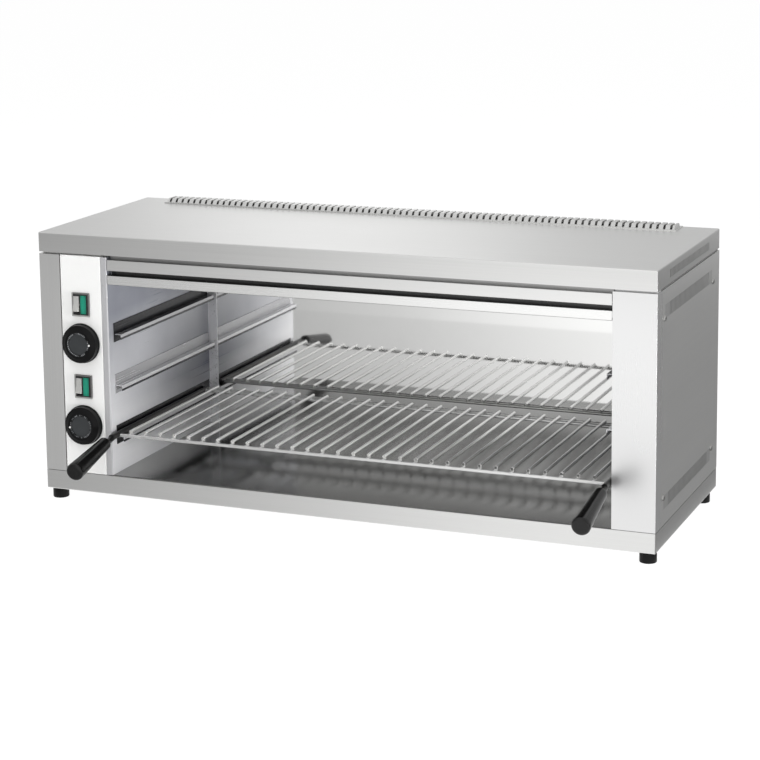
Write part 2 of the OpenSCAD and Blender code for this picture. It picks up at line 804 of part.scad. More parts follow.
module cavity_right_wall() {
    color([0.62, 0.64, 0.67]) {
        box([right_wall_x, wall_upper_y, floor_top], [right_wall_x + liner_sheet, mirror_y, ceiling_z]);
        box([right_wall_x, behind_panels, floor_top],
            [right_wall_x + liner_sheet, mirror_y, lower_rail_low - seam]);
        box([right_wall_x, behind_panels, floor_top],
            [right_wall_x + right_liner_flange, behind_panels + liner_sheet, lower_rail_low - seam]);
        box([right_wall_x - corner_strip, mirror_y - liner_sheet, floor_top],
            [right_wall_x + liner_sheet, mirror_y, lower_rail_low - seam]);
    }
}

module cavity_mirror_back() {
    color([0.85, 0.86, 0.87])
        box([wall_x - liner_sheet, mirror_y, floor_top],
            [right_wall_x + liner_sheet, mirror_y + liner_sheet, ceiling_z]);
}

module cavity_ceiling() {
    color([0.6, 0.6, 0.61])
        box([wall_x - liner_sheet, wall_upper_y, ceiling_z],
            [right_wall_x + liner_sheet, mirror_y + liner_sheet, ceiling_z + liner_sheet]);
}

module ceiling_insulation() {
    color([0.85, 0.83, 0.76])
        box([wall_x, wall_upper_y + 6, ceiling_z + liner_sheet],
            [right_wall_x, vent_y0 - 4, ceiling_z + liner_sheet + insulation_t]);
}

// Bent runner on the left wall: back, ledge and hanging lip
module runner(top) {
    color(steel) {
        box([wall_x, runner_front, top - runner_down], [wall_x + liner_sheet, mirror_y - runner_back, top + runner_up]);
        box([wall_x, runner_front, top - liner_sheet], [wall_x + ledge_w, mirror_y - runner_back, top]);
        box([wall_x + ledge_w - liner_sheet, runner_front, top - ledge_lip],
            [wall_x + ledge_w, mirror_y - runner_back, top]);
    }
}

module runner_right(top) {
    translate([2 * cavity_x, 0, 0]) mirror([1, 0, 0]) runner(top);
}

// ---------------------------------------------------------------- heating

// Hairpin tube with its two terminals on the left
module heating_element(y0) {
    turn_r = element_spacing / 2;
    color([0.3, 0.29, 0.28]) {
        for (run = [0, element_spacing])
            rod_x([element_left, y0 + run, element_z], element_r, element_turn_x - element_left);
        translate([element_turn_x, y0 + turn_r, element_z])
            rotate([0, 0, -90]) rotate_extrude(angle = 180) translate([turn_r, 0]) circle(r = element_r);
    }
    color([0.8, 0.78, 0.72]) for (run = [0, element_spacing])
        rod_x([element_left - terminal_l, y0 + run, element_z], terminal_r, terminal_l + terminal_sink);
}

// Collar and nut that clamp each tube in the left wall
module element_bushings() {
    bushing_x = wall_x - liner_sheet - bushing_l;
    bushing_all = bushing_l + liner_sheet + bushing_flange_t;
    color([0.75, 0.66, 0.4]) for (y0 = element_ys, run = [0, element_spacing]) difference() {
        union() {
            rod_x([bushing_x, y0 + run, element_z], bushing_r, bushing_all);
            hex_x([wall_x - liner_sheet - bushing_nut_t, y0 + run, element_z],
                2 * (bushing_r + bushing_nut_lip), bushing_nut_t);
            rod_x([wall_x, y0 + run, element_z], bushing_r + bushing_flange_lip, bushing_flange_t);
        }
        rod_x([bushing_x - cut, y0 + run, element_z], element_r + fit / 2, bushing_all + 2 * cut);
    }
}

module element_hangers() {
    low = element_z - element_r - hanger_lip;
    y0 = element_ys[0] - hanger_rim;
    y1 = element_ys[1] + element_spacing + hanger_rim;
    color([0.6, 0.6, 0.61]) for (x = hanger_xs) difference() {
        union() {
            box([x, y0, low], [x + hanger_t, y1, ceiling_z]);
            box([x, y0, ceiling_z - hanger_t], [x + hanger_rim, y1, ceiling_z]);
        }
        for (y = element_ys, run = [0, element_spacing])
            rod_x([x - cut, y + run, element_z], element_r + fit, hanger_t + 2 * cut);
    }
}

// ---------------------------------------------------------------- controls

// Energy regulator: case, bushing with its nut, and blade terminals
module regulator(z) {
    half = regulator_w / 2;
    back = sheet + regulator_d;
    color([0.16, 0.16, 0.17]) difference() {
        union() {
            box([control_x - half, sheet, z - half], [control_x + half, back, z + half]);
            rod_y([control_x, -bushing_reach, z], bushing_d / 2, bushing_reach + sheet + 1);
        }
        rod_y([control_x, -bushing_reach - cut, z], shaft_d / 2 + shaft_gap, bushing_reach + cut + shaft_in + 1);
    }
    color([0.8, 0.74, 0.5]) for (x = [-regulator_tab_x, regulator_tab_x], dz = [-regulator_tab_z, regulator_tab_z])
        blade([control_x + x, back, z + dz], regulator_tab_w);
    color(bright_steel) difference() {
        hex_y([control_x, -nut_t, z], nut_af, nut_t);
        rod_y([control_x, -nut_t - cut, z], bushing_d / 2 + disc_fit, nut_t + 2 * cut);
    }
}

module shaft(z) {
    color(bright_steel) rod_y([control_x, -shaft_out, z], shaft_d / 2, shaft_out + shaft_in);
}

// Knob turned about its shaft: skirt, body, sloping front and a recess for the disc
module knob(z, angle) {
    color(black_plastic) translate([control_x, 0, z]) rotate([90, 0, 0]) difference() {
        rotate_extrude() polygon([
            [0, knob_gap], [knob_d / 2 - 0.6, knob_gap], [knob_d / 2, knob_gap + 0.6],
            [knob_d / 2, knob_skirt_t - 0.6], [knob_d / 2 - 0.8, knob_skirt_t], [knob_body_d / 2, knob_skirt_t],
            [knob_body_d / 2 - 0.4, knob_shoulder], [knob_front_d / 2, knob_h - 0.3],
            [knob_front_d / 2 - 0.3, knob_h], [0, knob_h]]);
        translate([0, 0, knob_h - disc_recess - disc_t]) cylinder(d = knob_disc_d + 2 * disc_fit, h = knob_h);
        translate([pointer_r * sin(angle), pointer_r * cos(angle), knob_h - pointer_depth])
            cylinder(d = pointer_d + 2 * disc_fit, h = knob_h);
        translate([0, 0, -cut]) cylinder(r = knob_hollow_r, h = bushing_reach + 0.6 + cut);
        translate([0, 0, -cut]) cylinder(r = shaft_d / 2 + shaft_gap, h = shaft_out + 0.3 + cut);
    }
}

// A knob's pointer position, on the ring round its disc
function pointer_at(z, angle) = [control_x + pointer_r * sin(angle), 0, z + pointer_r * cos(angle)];

module knob_disc(z) {
    color([0.25, 0.26, 0.27]) rod_y([control_x, -(knob_h - disc_recess), z], knob_disc_d / 2, disc_t);
}

module knob_pointer(z, angle) {
    color([0.95, 0.95, 0.93]) rod_y(pointer_at(z, angle) - [0, knob_h + pointer_stand, 0], pointer_d / 2,
        pointer_depth + pointer_stand);
}

// Twin switch: frame on the panel and a case behind it, with a window each for rocker and lens
module switch(z) {
    back = sheet + switch_d;
    color(black_plastic) translate([control_x, 0, z]) difference() {
        union() {
            box([-bezel_w / 2, -bezel_t, -bezel_h / 2], [bezel_w / 2, 0, bezel_h / 2]);
            box([-switch_w / 2, -0.01, -switch_h / 2], [switch_w / 2, back, switch_h / 2]);
        }
        box([rocker_x - window_w / 2, -bezel_t - cut, -window_h / 2],
            [rocker_x + window_w / 2, pivot_y + rocker_back + rocker_well, window_h / 2]);
        box([lens_x - lens_w / 2 - disc_fit, -bezel_t - cut, -lens_h / 2 - disc_fit],
            [lens_x + lens_w / 2 + disc_fit, lens_depth, lens_h / 2 + disc_fit]);
        rod_x([rocker_x - window_w / 2 - pin_reach, pivot_y, 0], rocker_pin_d / 2 + pin_gap,
            window_w + 2 * pin_reach);
    }
    color([0.8, 0.74, 0.5]) for (x = [-switch_tab_x, switch_tab_x], dz = [-switch_tab_z, switch_tab_z])
        blade([control_x + x, back, z + dz], switch_tab_w);
}

// Rocker with a shallow valley in its face, tilted about its pivot pins, the top pressed in
module rocker(z) {
    color([0.78, 0.78, 0.77]) translate([control_x + rocker_x, pivot_y, z]) rotate([-rocker_tilt, 0, 0]) {
        intersection() {
            rotate([90, 0, 90]) translate([0, 0, -rocker_w / 2]) linear_extrude(rocker_w)
                polygon([[-rocker_front, rocker_half], [-rocker_waist, 0], [-rocker_front, -rocker_half],
                    [-rocker_front + 3, -rocker_r - 1], [rocker_back, -rocker_r - 1],
                    [rocker_back, rocker_r + 1], [-rocker_front + 3, rocker_r + 1]]);
            union() {
                rod_x([-rocker_w / 2 - cut, 0, 0], rocker_r, rocker_w + 2 * cut);
                box([-rocker_w / 2, -rocker_front - cut, -rocker_half], [rocker_w / 2, 0, rocker_half]);
            }
        }
        rod_x([-window_w / 2 - pin_reach + pin_end_gap, 0, 0], rocker_pin_d / 2,
            window_w + 2 * (pin_reach - pin_end_gap));
    }
}

module lamp_lens(z) {
    color([0.06, 0.6, 0.47]) translate([control_x, 0, z])
        box([lens_x - lens_w / 2, -bezel_t - lens_stand, -lens_h / 2],
            [lens_x + lens_w / 2, lens_depth, lens_h / 2]);
}

// ---------------------------------------------------------------- electrics

// Floor of one way of the terminal block
function way_at(i) = [block_x + block_end + way_pitch * i, block_y + block_d / 2, sheet + block_h - way_depth];

module terminal_block() {
    color([0.9, 0.88, 0.82]) difference() {
        box([block_x, block_y, sheet], [block_x + block_w, block_y + block_d, sheet + block_h]);
        for (i = [0 : way_count - 1]) rod_z(way_at(i), way_r, way_depth + cut);
    }
    color(bright_steel) for (i = [0 : way_count - 1]) rod_z(way_at(i), way_r - fit, way_screw_h);
}

// A lead from [x, y0, z0] back along Y to y1 and then up or down to z1
module lead(x, y0, z0, y1, z1) {
    rod_y([x, y0, z0], loom_r, y1 - y0);
    translate([x, y1, z0]) sphere(r = loom_r);
    rod_z([x, y1, min(z0, z1)], loom_r, abs(z1 - z0));
}

// Leads from the regulators up to the elements, and from the switches down to the terminal block
module wiring() {
    regulator_y = sheet + regulator_d + tab_l + loom_gap;
    switch_y = sheet + switch_d + tab_l + loom_gap;
    element_low = element_z - terminal_r - loom_gap;
    way_top = way_at(0).z + way_screw_h + loom_gap;
    color([0.75, 0.2, 0.12]) for (i = [0, 1]) {
        x = control_x + regulator_tab_x + (i == 0 ? loom_r + loom_gap : -loom_r - loom_gap);
        y = element_ys[1 - i];
        lead(x, regulator_y, knob_zs[i] + regulator_tab_z, y, element_low);
        lead(x, regulator_y, knob_zs[i] - regulator_tab_z, y + element_spacing, element_low);
    }
    color([0.2, 0.35, 0.7]) for (i = [0, 1])
        lead(control_x + (2 * i - 1) * switch_tab_x, switch_y, switch_zs[i] + switch_tab_z, way_at(0).y, way_top);
}

// Gland: thread and lock nut inside, hexagon and dome outside, with the cable's bore right through
module cable_gland() {
    at = [gland_x, body_d, gland_z];
    dome_r = gland_thread_r + 1;
    dome_l = gland_reach - gland_cone;
    color(black_plastic) difference() {
        union() {
            rod_y(at - [0, gland_in + sheet, 0], gland_thread_r, gland_in + sheet + 0.01);
            hex_y(at, gland_hex_af, gland_hex_t);
            rod_y(at, dome_r, dome_l);
            translate(at + [0, dome_l, 0]) rotate([-90, 0, 0]) cylinder(r1 = dome_r, r2 = dome_r - 3, h = gland_cone);
        }
        rod_y(at - [0, gland_in + sheet + cut, 0], gland_bore_d / 2, gland_in + gland_reach + sheet + 2 * cut);
    }
    color(black_plastic) difference() {
        hex_y(at - [0, sheet + lock_nut_t, 0], gland_hex_af, lock_nut_t);
        rod_y(at - [0, sheet + lock_nut_t + cut, 0], gland_thread_r + disc_fit, lock_nut_t + 2 * cut);
    }
}

// Stud for the bonding lead, with a collar outside the panel and a nut inside
module earth_stud() {
    at = [earth_x, body_d, gland_z];
    nut_at = at - [0, sheet + earth_nut_t, 0];
    color(bright_steel) {
        rod_y(at - [0, gland_in, 0], earth_d / 2, gland_in + earth_reach);
        hex_y(at, earth_d + 4, earth_nut_t);
        difference() {
            hex_y(nut_at, earth_d + 4, earth_nut_t);
            rod_y(nut_at - [0, cut, 0], earth_d / 2 + disc_fit, earth_nut_t + 2 * cut);
        }
    }
}

// ---------------------------------------------------------------- rack

// One welded rack: front bar, two rear bars and the cross wires, turned down onto the front bar
module wire_rack() {
    x0 = left_rod_x + rod_r + bar_end_gap;
    x1 = right_rod_x - rod_r - bar_end_gap;
    wire_count = 1 + floor((x1 - x0 - 2 * wire_margin) / wire_pitch);
    first_x = (x0 + x1) / 2 - (wire_count - 1) * wire_pitch / 2;
    wire_end = rear_bar_y + bar_d / 2;
    color([0.8, 0.81, 0.82]) {
        rod_x([x0, front_bar_y, front_bar_z], bar_d / 2, x1 - x0);
        for (y = [rear_bar_y, rear_bar_y - rear_bar_gap]) rod_x([x0, y, rear_bar_z], bar_d / 2, x1 - x0);
        for (i = [0 : wire_count - 1]) translate([first_x + i * wire_pitch, front_bar_y, wire_z]) {
            rod_y([0, 0, 0], wire_d / 2, wire_end - front_bar_y);
            sphere(d = wire_d);
            rod_z([0, 0, -wire_rise + bar_d / 2 - weld], wire_d / 2, wire_rise - bar_d / 2 + weld);
        }
    }
}

// Side rod: straight along its ledge, then bent down towards the grip.
// It is drawn about the bend's centre, with X up and Y to the front.
module handle_rod(x) {
    color(dark_steel) translate([x, bend_tangent - rod_bend_y, rod_z - rod_bend_r]) rotate([180, -90, 0]) {
        translate([rod_bend_r, 0, 0]) rotate([90, 0, 0])
            cylinder(r = rod_r, h = rod_back_y + rod_bend_y - bend_tangent);
        rotate_extrude(angle = handle_slope) translate([rod_bend_r, 0]) circle(r = rod_r);
        rotate([0, 0, handle_slope]) translate([rod_bend_r, -neck_sink, 0]) rotate([-90, 0, 0])
            cylinder(r = rod_r - neck_step, h = grip_start + rod_in_grip - bend_tangent + neck_sink);
    }
}

// Grip: a turned sleeve that grows towards its rounded outer end
module grip(x) {
    inner_r = grip_inner_d / 2;
    color(black_plastic) translate([x, -rod_bend_y, rod_z]) rotate([90 + handle_slope, 0, 0]) difference() {
        rotate_extrude() polygon(concat(
            [[0, grip_start], [inner_r - 2, grip_start], [inner_r - 0.6, grip_start + 0.8], [inner_r, grip_start + 3]],
            [for (a = [0 : 15 : 90])
                [grip_r - grip_round + grip_round * cos(a), grip_end - grip_round + grip_round * sin(a)]],
            [[0, grip_end]]));
        cylinder(r = rod_r + disc_fit, h = grip_start + rod_in_grip + disc_fit);
    }
}

place() base_tray();
place() top_cover();
place() rear_vent_strip();
place() left_corner_post();
place() control_panel();
place() right_front_panel();
place() front_upper_rail();
place() front_lower_rail();
place() left_side_panel();
place() right_side_panel();
place() back_panel();
place() side_screws();
place() back_screws();
place() foot(0, 0);  // foot_front_left
place() foot(1, 0);  // foot_front_right
place() foot(0, 1);  // foot_rear_left
place() foot(1, 1);  // foot_rear_right
place() foot_screws();
place() cavity_floor();
place() cavity_left_wall();
place() cavity_right_wall();
place() cavity_mirror_back();
place() cavity_ceiling();
place() ceiling_insulation();
place() runner(ledges[0]);  // runner_left_lower
place() runner(ledges[1]);  // runner_left_middle
place() runner(ledges[2]);  // runner_left_upper
place() runner_right(ledges[0]);  // runner_right_lower
place() runner_right(ledges[1]);  // runner_right_middle
place() runner_right(ledges[2]);  // runner_right_upper
place() heating_element(element_ys[0]);  // front_heating_element
place() heating_element(element_ys[1]);  // rear_heating_element
place() element_bushings();
place() element_hangers();
place() regulator(knob_zs[0]);  // upper_regulator
place() regulator(knob_zs[1]);  // lower_regulator
place() shaft(knob_zs[0]);  // upper_shaft
place() shaft(knob_zs[1]);  // lower_shaft
place() knob(knob_zs[0], pointer_angles[0]);  // upper_knob
place() knob(knob_zs[1], pointer_angles[1]);  // lower_knob
place() knob_disc(knob_zs[0]);  // upper_knob_disc
place() knob_disc(knob_zs[1]);  // lower_knob_disc
place() knob_pointer(knob_zs[0], pointer_angles[0]);  // upper_knob_pointer
place() knob_pointer(knob_zs[1], pointer_angles[1]);  // lower_knob_pointer
place() switch(switch_zs[0]);  // upper_switch
place() switch(switch_zs[1]);  // lower_switch
place() rocker(switch_zs[0]);  // upper_rocker
place() rocker(switch_zs[1]);  // lower_rocker
place() lamp_lens(switch_zs[0]);  // upper_lamp_lens
place() lamp_lens(switch_zs[1]);  // lower_lamp_lens
place() terminal_block();
place() wiring();
place() cable_gland();
place() earth_stud();
place() wire_rack();
place() handle_rod(left_rod_x);  // left_handle_rod
place() handle_rod(right_rod_x);  // right_handle_rod
place() grip(left_rod_x);  // left_grip
place() grip(right_rod_x);  // right_grip
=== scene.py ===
"""Cheese melter: the finished pieces, their finishes and the studio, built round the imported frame."""

import logging
import math
from collections.abc import Callable, Sequence
from dataclasses import dataclass, field
from enum import Enum
from functools import lru_cache
from itertools import product

import bmesh
import bpy
from mathutils import Matrix, Vector


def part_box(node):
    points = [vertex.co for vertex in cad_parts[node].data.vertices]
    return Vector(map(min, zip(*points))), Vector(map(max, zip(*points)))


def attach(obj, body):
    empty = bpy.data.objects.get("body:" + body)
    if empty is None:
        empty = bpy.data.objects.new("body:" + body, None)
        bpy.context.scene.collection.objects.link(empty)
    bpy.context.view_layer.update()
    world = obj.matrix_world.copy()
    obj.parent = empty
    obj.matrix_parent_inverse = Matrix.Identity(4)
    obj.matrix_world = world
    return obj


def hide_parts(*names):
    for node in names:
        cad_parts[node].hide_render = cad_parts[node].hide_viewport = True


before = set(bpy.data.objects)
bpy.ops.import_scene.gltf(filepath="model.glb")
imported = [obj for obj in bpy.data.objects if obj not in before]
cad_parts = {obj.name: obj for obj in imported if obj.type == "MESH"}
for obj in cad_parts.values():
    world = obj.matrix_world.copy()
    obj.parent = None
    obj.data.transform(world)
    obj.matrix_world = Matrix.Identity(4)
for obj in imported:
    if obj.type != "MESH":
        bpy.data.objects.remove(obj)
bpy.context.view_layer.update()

LOG = logging.getLogger("cheese_melter")
MM = 0.001
FRONT_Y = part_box("top_cover")[0].y
TABLE_GAP = 0.014
UP = Vector((0, 0, 1))
BACK = Vector((0, 1, 0))
RIGHT = Vector((1, 0, 0))
FAR_MM = 1e4
Piece = bpy.types.Object
Material = bpy.types.Material
Colour = tuple[float, float, float]
Pair = tuple[float, float]


def spot(x: float, y: float, z: float) -> Vector:
    """A point given in the casing's own millimetres, in the frame's metres."""
    return Vector((x * MM, y * MM + FRONT_Y, z * MM + TABLE_GAP))


def grey(level: float) -> Colour:
    """A neutral colour."""
    return (level, level, level)


class Axis(Enum):
    """One of the frame's three directions."""

    X = 0
    Y = 1
    Z = 2


class Part(Enum):
    """What a selection is made of, by Blender's name and the mesh's own."""

    EDGE = ("EDGE", "edges")
    FACE = ("FACE", "faces")


# ---------------- shader graphs


def operator(operation: str, flipped: bool = False) -> Callable[..., "Signal"]:
    """Makes a method that adds one Math node.

    Args:
        operation: Blender's name of the sum.
        flipped: whether the other value comes first.

    Returns:
        The method, which takes the other values and returns the node's output.
    """
    def add_node(self: "Signal", *others: "Signal | float") -> "Signal":
        """Adds the Math node and returns its output."""
        values = (*others, self) if flipped else (self, *others)
        return self.graph.node("ShaderNodeMath", {"operation": operation}, dict(enumerate(values)))

    return add_node


class Signal:
    """One shader socket that can stand in a Python sum; a comparison gives 1 where it holds, or 0."""

    def __init__(self, graph: "Graph", socket: bpy.types.NodeSocket) -> None:
        """Keeps the socket and the graph that it belongs to."""
        self.graph = graph
        self.socket = socket

    __add__ = __radd__ = operator("ADD")
    __sub__ = operator("SUBTRACT")
    __rsub__ = operator("SUBTRACT", flipped=True)
    __mul__ = __rmul__ = operator("MULTIPLY")
    __truediv__ = operator("DIVIDE")
    __pow__ = operator("POWER")
    __abs__ = operator("ABSOLUTE")
    __lt__ = operator("LESS_THAN")
    __gt__ = operator("GREATER_THAN")
    at_least = operator("MAXIMUM")
    at_most = operator("MINIMUM")
    fraction = operator("FRACT")
    angle_to = operator("ARCTAN2")

    def clipped(self, low: float = 0.0, high: float = 1.0) -> "Signal":
        """The value held between two limits."""
        return self.at_least(low).at_most(high)

    def within(self, low: float, high: float) -> "Signal":
        """1 between two limits, otherwise 0."""
        return (self > low) * (self < high)


class Graph:
    """The node tree of one material or of the world."""

    def __init__(self, owner: str | bpy.types.World) -> None:
        """Empties the world's tree, or makes an empty material of that name."""
        self.owner = bpy.data.materials.new(owner) if isinstance(owner, str) else owner
        self.owner.use_nodes = True
        self.tree = self.owner.node_tree
        self.tree.nodes.clear()

    def node(self, kind: str, settings: dict | None = None, values: dict | None = None,
             output: int | str | None = 0) -> Signal | None:
        """Adds a node.

        Args:
            kind: Blender's name of the node's type.
            settings: the node's own settings, with a ramp's stops under "stops".
            values: a value or a Signal for each socket, by name or number.
            output: the output socket to hand back, or None for a node without one.

        Returns:
            The output socket as a Signal, if one was asked for.
        """
        made = self.tree.nodes.new(kind)
        for key, setting in (settings or {}).items():
            if key == "stops":
                ramp = made.color_ramp.elements
                while len(ramp) < len(setting):
                    ramp.new(1.0)
                for element, (place, shade) in zip(ramp, setting):
                    element.position = place
                    element.color = (*grey(shade), 1)
            else:
                setattr(made, key, setting)
        for key, value in (values or {}).items():
            if isinstance(value, Signal):
                self.tree.links.new(value.socket, made.inputs[key])
            else:
                made.inputs[key].default_value = value
        return None if output is None else Signal(self, made.outputs[output])

    def position(self) -> Signal:
        """The point on the piece, in the frame's metres."""
        return self.node("ShaderNodeTexCoord", output="Object")

    def metres(self, axis: Axis) -> Signal:
        """One of the frame's coordinates, in metres."""
        return self.node("ShaderNodeSeparateXYZ", None, {0: self.position()}, axis.value)

    def coordinate(self, axis: Axis) -> Signal:
        """One of the casing's own coordinates, in millimetres."""
        return (self.metres(axis) - spot(0, 0, 0)[axis.value]) * (1 / MM)

    def offsets(self, centre: Pair) -> tuple[Signal, Signal]:
        """Distances to the right of a point on the front and above it, in millimetres."""
        return self.coordinate(Axis.X) - centre[0], self.coordinate(Axis.Z) - centre[1]

    def noise(self, scale: float | Sequence[float], detail: float, rough: float) -> Signal:
        """Soft noise from 0 to 1, with one scale or one for each axis, in waves a metre."""
        scales = (scale,) * 3 if isinstance(scale, float) else tuple(scale)
        place = self.node("ShaderNodeVectorMath", {"operation": "MULTIPLY"}, {0: self.position(), 1: scales})
        return self.node("ShaderNodeTexNoise", None,
                         {"Vector": place, "Scale": 1.0, "Detail": detail, "Roughness": rough})

    def mixed(self, factor: Signal | float, first: Signal | Colour, second: Signal | Colour) -> Signal:
        """A colour between two colours."""
        pick = {key: (*value, 1.0) if isinstance(value, tuple) else value
                for key, value in ((6, first), (7, second))}
        return self.node("ShaderNodeMix", {"data_type": "RGBA"}, {0: factor, **pick}, 2)

    def raised(self, height: Signal, strength: float, depth_mm: float) -> Signal:
        """A surface normal that follows a height from 0 to 1."""
        return self.node("ShaderNodeBump", None,
                         {"Height": height, "Strength": strength, "Distance": depth_mm * MM})

    def close(self, shader: Signal, kind: str = "ShaderNodeOutputMaterial") -> None:
        """Links a shader to the output of the material or the world."""
        self.node(kind, None, {"Surface": shader}, None)


# ---------------- finishes


@dataclass(frozen=True)
class Zone:
    """A stretch of the casing's own millimetres in which a finish is darker with painted shade, and perhaps
    rougher.
    """

    dark: float
    x: Pair | None = None
    y: Pair | None = None
    z: Pair | None = None
    rough: float = 0.0

    def mask(self, g: Graph) -> Signal:
        """1 inside the stretch, otherwise 0."""
        return math.prod(g.coordinate(axis).within(*limits)
                         for axis, limits in zip(Axis, (self.x, self.y, self.z)) if limits)


@dataclass(frozen=True)
class Finish:
    """Base of every finish: its name, the material slot it belongs to, and where shade is painted on it."""

    name: str
    slot: str = ""
    zones: tuple[Zone, ...] = field(default=(), kw_only=True)
    # Colour that the painted shade of the zones darkens towards.
    painted_shade: Colour = field(default=(0.0, 0.0, 0.0), kw_only=True)

    @lru_cache(maxsize=None)
    def build(self) -> Material:
        """Makes the material once; later calls return the same one."""
        g = Graph(self.name)
        g.close(g.node("ShaderNodeBsdfPrincipled", None, self.sockets(g)))
        return g.owner

    def sockets(self, g: Graph) -> dict:
        """Draws the finish and says what each socket of its shader gets."""
        raise NotImplementedError

    def shaded(self, g: Graph, colour: Signal) -> Signal:
        """Darkens the surface in its zones with painted shade."""
        if not self.zones:
            return colour
        return g.mixed(sum(zone.mask(g) * zone.dark for zone in self.zones).clipped(), colour, self.painted_shade)

    def blurred(self, g: Graph, gloss: Signal) -> Signal:
        """Roughens the surface in its zones."""
        return gloss + sum(zone.mask(g) * zone.rough for zone in self.zones if zone.rough)


@dataclass(frozen=True)
class BrushedSteel(Finish):
    """Stainless sheet brushed along one axis, with faint hand marks."""

    grain: Axis = Axis.X
    tone: Colour = (0.80, 0.80, 0.79)
    roughness: float = 0.32
    contrast: float = 0.05
    scratch: float = 0.10
    metallic: float = 1.0
    spread: float = 0.16

    def sockets(self, g: Graph) -> dict:
        """Streaks along the grain vary colour, gloss and relief; broad clouds vary the gloss."""
        fine, broad = (g.noise([along if axis == self.grain else across for axis in Axis], detail, 0.6)
                       for along, across, detail in ((3.0, 950.0, 4.0), (1.2, 130.0, 3.0)))
        clouds = g.noise(7.0, 3.0, 0.5)
        streak = fine * 0.6 + broad * 0.4
        dark = tuple(c * (1 - 2 * self.contrast) for c in self.tone)
        light = tuple(min(1.0, c * (1 + self.contrast)) for c in self.tone)
        gloss = self.roughness + (streak - 0.5) * self.spread + (clouds - 0.5) * 0.10
        return {
            "Base Color": self.shaded(g, g.mixed(streak, dark, light)), "Metallic": self.metallic,
            "Roughness": gloss.clipped(0.08, 0.9),
            "Normal": g.raised(streak, self.scratch, 0.05)}


@dataclass(frozen=True)
class LinerSteel(BrushedSteel):
    """Cavity wall with painted shade in a blue-grey tint, darker towards the top and the back."""

    # Painted shade: its colour, and how it grows towards the top and at the back.
    shade_tint: Colour = (0.17, 0.18, 0.22)
    depth_mm: float = 286.0
    strip_mm: float = 284.6
    front_mm: float = 1.2
    upper_shade_mm: Pair = (100.0, 240.0)
    upper_shade: float = 0.94
    rear_shade_mm: Pair = (115.0, 80.0)

    def shaded(self, g: Graph, colour: Signal) -> Signal:
        """Paints shade on it: darker towards the top, and darker at the back, behind the rack."""
        clouds = g.noise(14.0, 3.0, 0.55)
        depth, height = g.coordinate(Axis.Y), g.coordinate(Axis.Z)
        low, high = self.upper_shade_mm
        middle, spread = self.rear_shade_mm
        # Painted shade: darker towards the top, and at the back behind the rack.
        upper_shade = ((height - low) * (self.upper_shade / (high - low))).clipped(0.0, self.upper_shade)
        painted_shade = (1.0 - abs(height - middle) / spread).clipped() * depth / self.depth_mm
        liner_shade = (upper_shade + painted_shade + (clouds - 0.5) * 0.2 - 0.04).clipped()
        tinted = g.mixed(liner_shade * depth.within(self.front_mm, self.strip_mm), colour, self.shade_tint)
        return super().shaded(g, tinted)


@dataclass(frozen=True)
class PolishedSteel(Finish):
    """Bright rolled or plated metal with slight waves and dulled clouds."""

    tone: Colour = (0.85, 0.85, 0.85)
    roughness: float = 0.06
    wave: float = 0.04
    wave_scale: float = 14.0
    haze: float = 0.05
    metallic: float = 1.0

    def sockets(self, g: Graph) -> dict:
        """Long waves bend the mirror; clouds and fine hairlines dull it a little."""
        waves = g.noise(self.wave_scale, 1.0, 0.4)
        clouds = g.noise(9.0, 4.0, 0.6)
        hairs = g.noise((5.0, 700.0, 700.0), 3.0, 0.6)
        dull = ((clouds - 0.45) * 2.0).clipped()
        gloss = self.roughness + dull * self.haze + (hairs - 0.5) * self.haze
        dark = tuple(c * 0.93 for c in self.tone)
        return {
            "Base Color": self.shaded(g, g.mixed(dull, self.tone, dark)), "Metallic": self.metallic,
            "Roughness": self.blurred(g, gloss).clipped(0.02, 0.8),
            "Normal": g.raised(waves, self.wave, 1.0)}


@dataclass(frozen=True)
class FloorSteel(PolishedSteel):
    """Cavity floor, darker towards the right with painted shade, and scuffed along the front."""

    # Painted shade towards the right: where it starts, how far it grows and how dark it gets.
    floor_shade_from_mm: float = 20.0
    floor_shade_run_mm: float = 260.0
    floor_shade_dark: float = 0.56
    scuff_mm: float = 48.0
    scuff_slope: float = 0.03
    scuff_rough: float = 0.10

    def shaded(self, g: Graph, colour: Signal) -> Signal:
        """Painted shade: darkens the floor towards the right."""
        floor_shade = ((g.coordinate(Axis.X) - self.floor_shade_from_mm) / self.floor_shade_run_mm).clipped()
        return g.mixed(floor_shade * self.floor_shade_dark, colour, grey(0.04))

    def blurred(self, g: Graph, gloss: Signal) -> Signal:
        """Roughens the strip that hands and trays rub."""
        scuffed = ((self.scuff_mm - g.coordinate(Axis.Y)) * self.scuff_slope).clipped()
        return gloss + scuffed * self.scuff_rough


@dataclass(frozen=True)
class RackChrome(PolishedSteel):
    """Rack wire with painted shade, darker towards the front right, with its weld ends at the front left
    bright.
    """

    # Painted shade on the wires, along a slant towards the front right; the front ends stay bright.
    wire_shade_from_mm: float = 60.0
    wire_shade_run_mm: float = 70.0
    wire_shade_dark: float = 0.62
    slant: float = 0.6
    tips_mm: float = 9.5

    def shaded(self, g: Graph, colour: Signal) -> Signal:
        """Painted shade: darkens the wires behind their front ends, more towards the front right."""
        x, y = g.coordinate(Axis.X), g.coordinate(Axis.Y)
        wire_shade = ((x - y * self.slant - self.wire_shade_from_mm) / self.wire_shade_run_mm).clipped()
        wires = g.mixed(wire_shade * (y > self.tips_mm) * self.wire_shade_dark, colour, grey(0.09))
        return super().shaded(g, wires)


